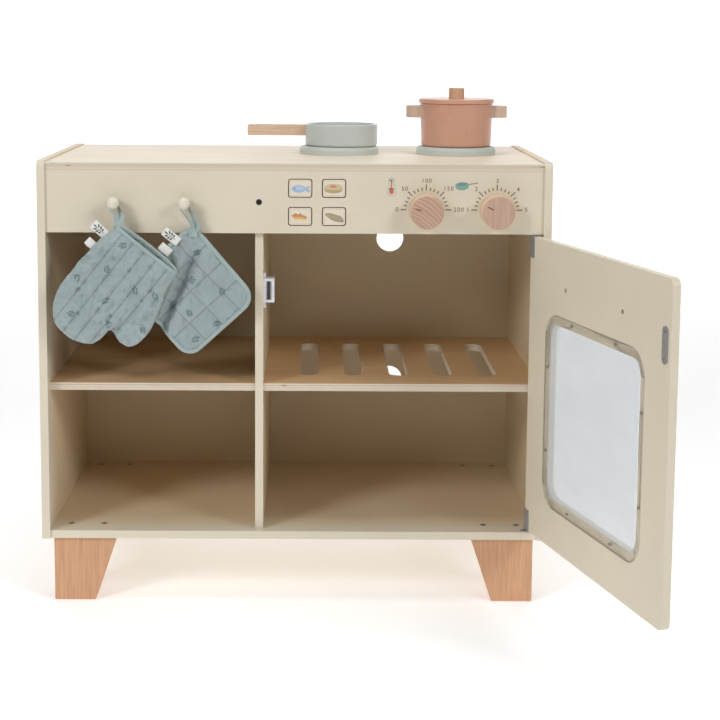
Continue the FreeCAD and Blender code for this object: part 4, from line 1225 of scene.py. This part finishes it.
def make_cloth():
    mitt = make_mitt()
    make_mitt_binding()
    holder = make_holder()
    make_holder_binding()
    make_loop("mitt_loop", "mitt", "oven_mitt_loop", MITT_PEG, (-243.6, -16.0, 457.5), 0.8)
    make_loop("holder_loop", "holder", "pot_holder_loop", HOLDER_PEG, (-157.6, -8.0, 447.5), 2.0)
    make_sprigs("mitt_sprigs", "mitt", mitt,
                ((-235.2, 435.0, 100), (-255.9, 406.2, -20), (-290.1, 398.3, -170),
                 (-295.8, 355.4, 80), (-258.9, 370.5, -70), (-223.0, 381.3, 10),
                 (-255.0, 341.6, -50), (-214.9, 335.5, 0), (-199.6, 375.4, 20)))
    make_sprigs("holder_sprigs", "holder", holder,
                ((-154.4, 423.7, -60), (-159.4, 391.5, -30), (-123.6, 380.3, 170),
                 (-161.7, 352.2, 20), (-131.5, 340.4, -80), (-156.6, 321.2, -60),
                 (-182.6, 360.8, -20)))
    make_tag("mitt_tag", "mitt", (-258.0, -17.0, 446.6), 22, 11.0, 137, True)
    make_tag("mitt_small_tag", "mitt", (-271.5, -17.0, 433.4), 13.5, 10.0, 137, False)
    make_tag("holder_tag", "holder", (-176.5, -6.8, 438.6), 22, 11.0, 142, True)
    make_tag("holder_small_tag", "holder", (-186.5, -6.8, 425.6), 15, 10.0, 140, False)


make_cloth()

# ---------------------------------------------------------------- stage, lights and camera
def make_stage():
    """A pale floor that sweeps up into a backdrop. Both glow, which is painted light: faintly on
    the floor in front, more under and behind the cabinet, and most up the backdrop.
    """
    bpy.ops.object.select_all(action="DESELECT")
    bpy.ops.mesh.primitive_plane_add(size=1, location=(0, -1.0, -0.0008))
    o = bpy.context.object
    o.scale = (14, 12, 1)
    settle(o)
    back, radius = 5.0, 2.0
    edit_some(o, "EDGE", [e.index for e in o.data.edges
                          if all(o.data.vertices[i].co.y > back - 1 for i in e.vertices)])
    here = Vector((0, back, 0))
    for k in range(1, 9):
        a = math.pi / 2 * k / 8
        there = Vector((0, back + radius * math.sin(a), radius - radius * math.cos(a)))
        bpy.ops.mesh.extrude_region_move(TRANSFORM_OT_translate={"value": there - here})
        here = there
    bpy.ops.mesh.extrude_region_move(TRANSFORM_OT_translate={"value": (0, 0, 5)})
    close_edit()
    bpy.ops.object.shade_smooth()
    o.name = "backdrop"
    p = Paint("backdrop_paper", Roughness=0.9)
    grain = p.noise(p.place(), 3, 2)
    p.drive(Base_Color=p.mix(grain, (0.9, 0.9, 0.9, 1), (0.93, 0.93, 0.93, 1)))
    y = p.axes(p.place())[1]
    # Painted light: the floor glows dimmer towards the front and brighter under and behind the
    # cabinet, the backdrop brighter still.
    floor = p.mix(y.eased(-1.6, 0.1), (0.1, 0.1, 0.1, 1), (0.33, 0.335, 0.345, 1))
    p.drive(Emission_Color=p.mix(y.eased(1.0, 4.0), floor, (0.85, 0.85, 0.87, 1)))
    p.shader.inputs["Emission Strength"].default_value = 1.0
    o.data.materials.append(p.material)
    o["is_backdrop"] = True


def lamp(name, at, aim, size, power, tint=(1, 1, 1)):
    data = bpy.data.lights.new(name, "AREA")
    data.shape = "RECTANGLE"
    data.size, data.size_y = size
    data.energy = power
    data.color = tint
    o = bpy.data.objects.new(name, data)
    bpy.context.scene.collection.objects.link(o)
    o.location = at
    o.rotation_euler = (Vector(aim) - Vector(at)).to_track_quat("-Z", "Y").to_euler()


make_stage()
lamp("softbox_left", (-2.0, -2.0, 1.8), (0, 0.1, 0.3), (0.8, 1.0), 34, (1, 0.99, 0.975))
lamp("softbox_right", (2.2, -1.9, 1.8), (-0.05, 0.1, 0.35), (0.8, 1.0), 31, (1, 0.99, 0.975))
lamp("overhead", (0, 0.0, 2.9), (0, 0.15, 0.3), (2.2, 1.6), 30)

world = bpy.data.worlds.new("studio")
world.use_nodes = True
air = world.node_tree.nodes["Background"]
air.inputs[0].default_value = (1, 0.97, 0.93, 1)
seen = world.node_tree.nodes.new("ShaderNodeLightPath")
level = world.node_tree.nodes.new("ShaderNodeMapRange")
level.inputs["To Min"].default_value = 0.16
level.inputs["To Max"].default_value = 0.95
world.node_tree.links.new(seen.outputs["Is Camera Ray"], level.inputs["Value"])
world.node_tree.links.new(level.outputs[0], air.inputs[1])
bpy.context.scene.world = world
bpy.context.scene.view_settings.view_transform = "Standard"

camera = bpy.data.cameras.new("camera")
camera.sensor_width = 36
camera.lens = 74.08
camera.shift_x = 0.0622
camera.shift_y = -0.1979
camera.clip_end = 50
eye = bpy.data.objects.new("camera", camera)
bpy.context.scene.collection.objects.link(eye)
eye.location = (-0.01742, -1.71192, 0.66841)
eye.rotation_euler = (math.pi / 2 - 0.1179, -0.0049, -0.0003)
bpy.context.scene.camera = eye

bpy.context.view_layer.update()
low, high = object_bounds()
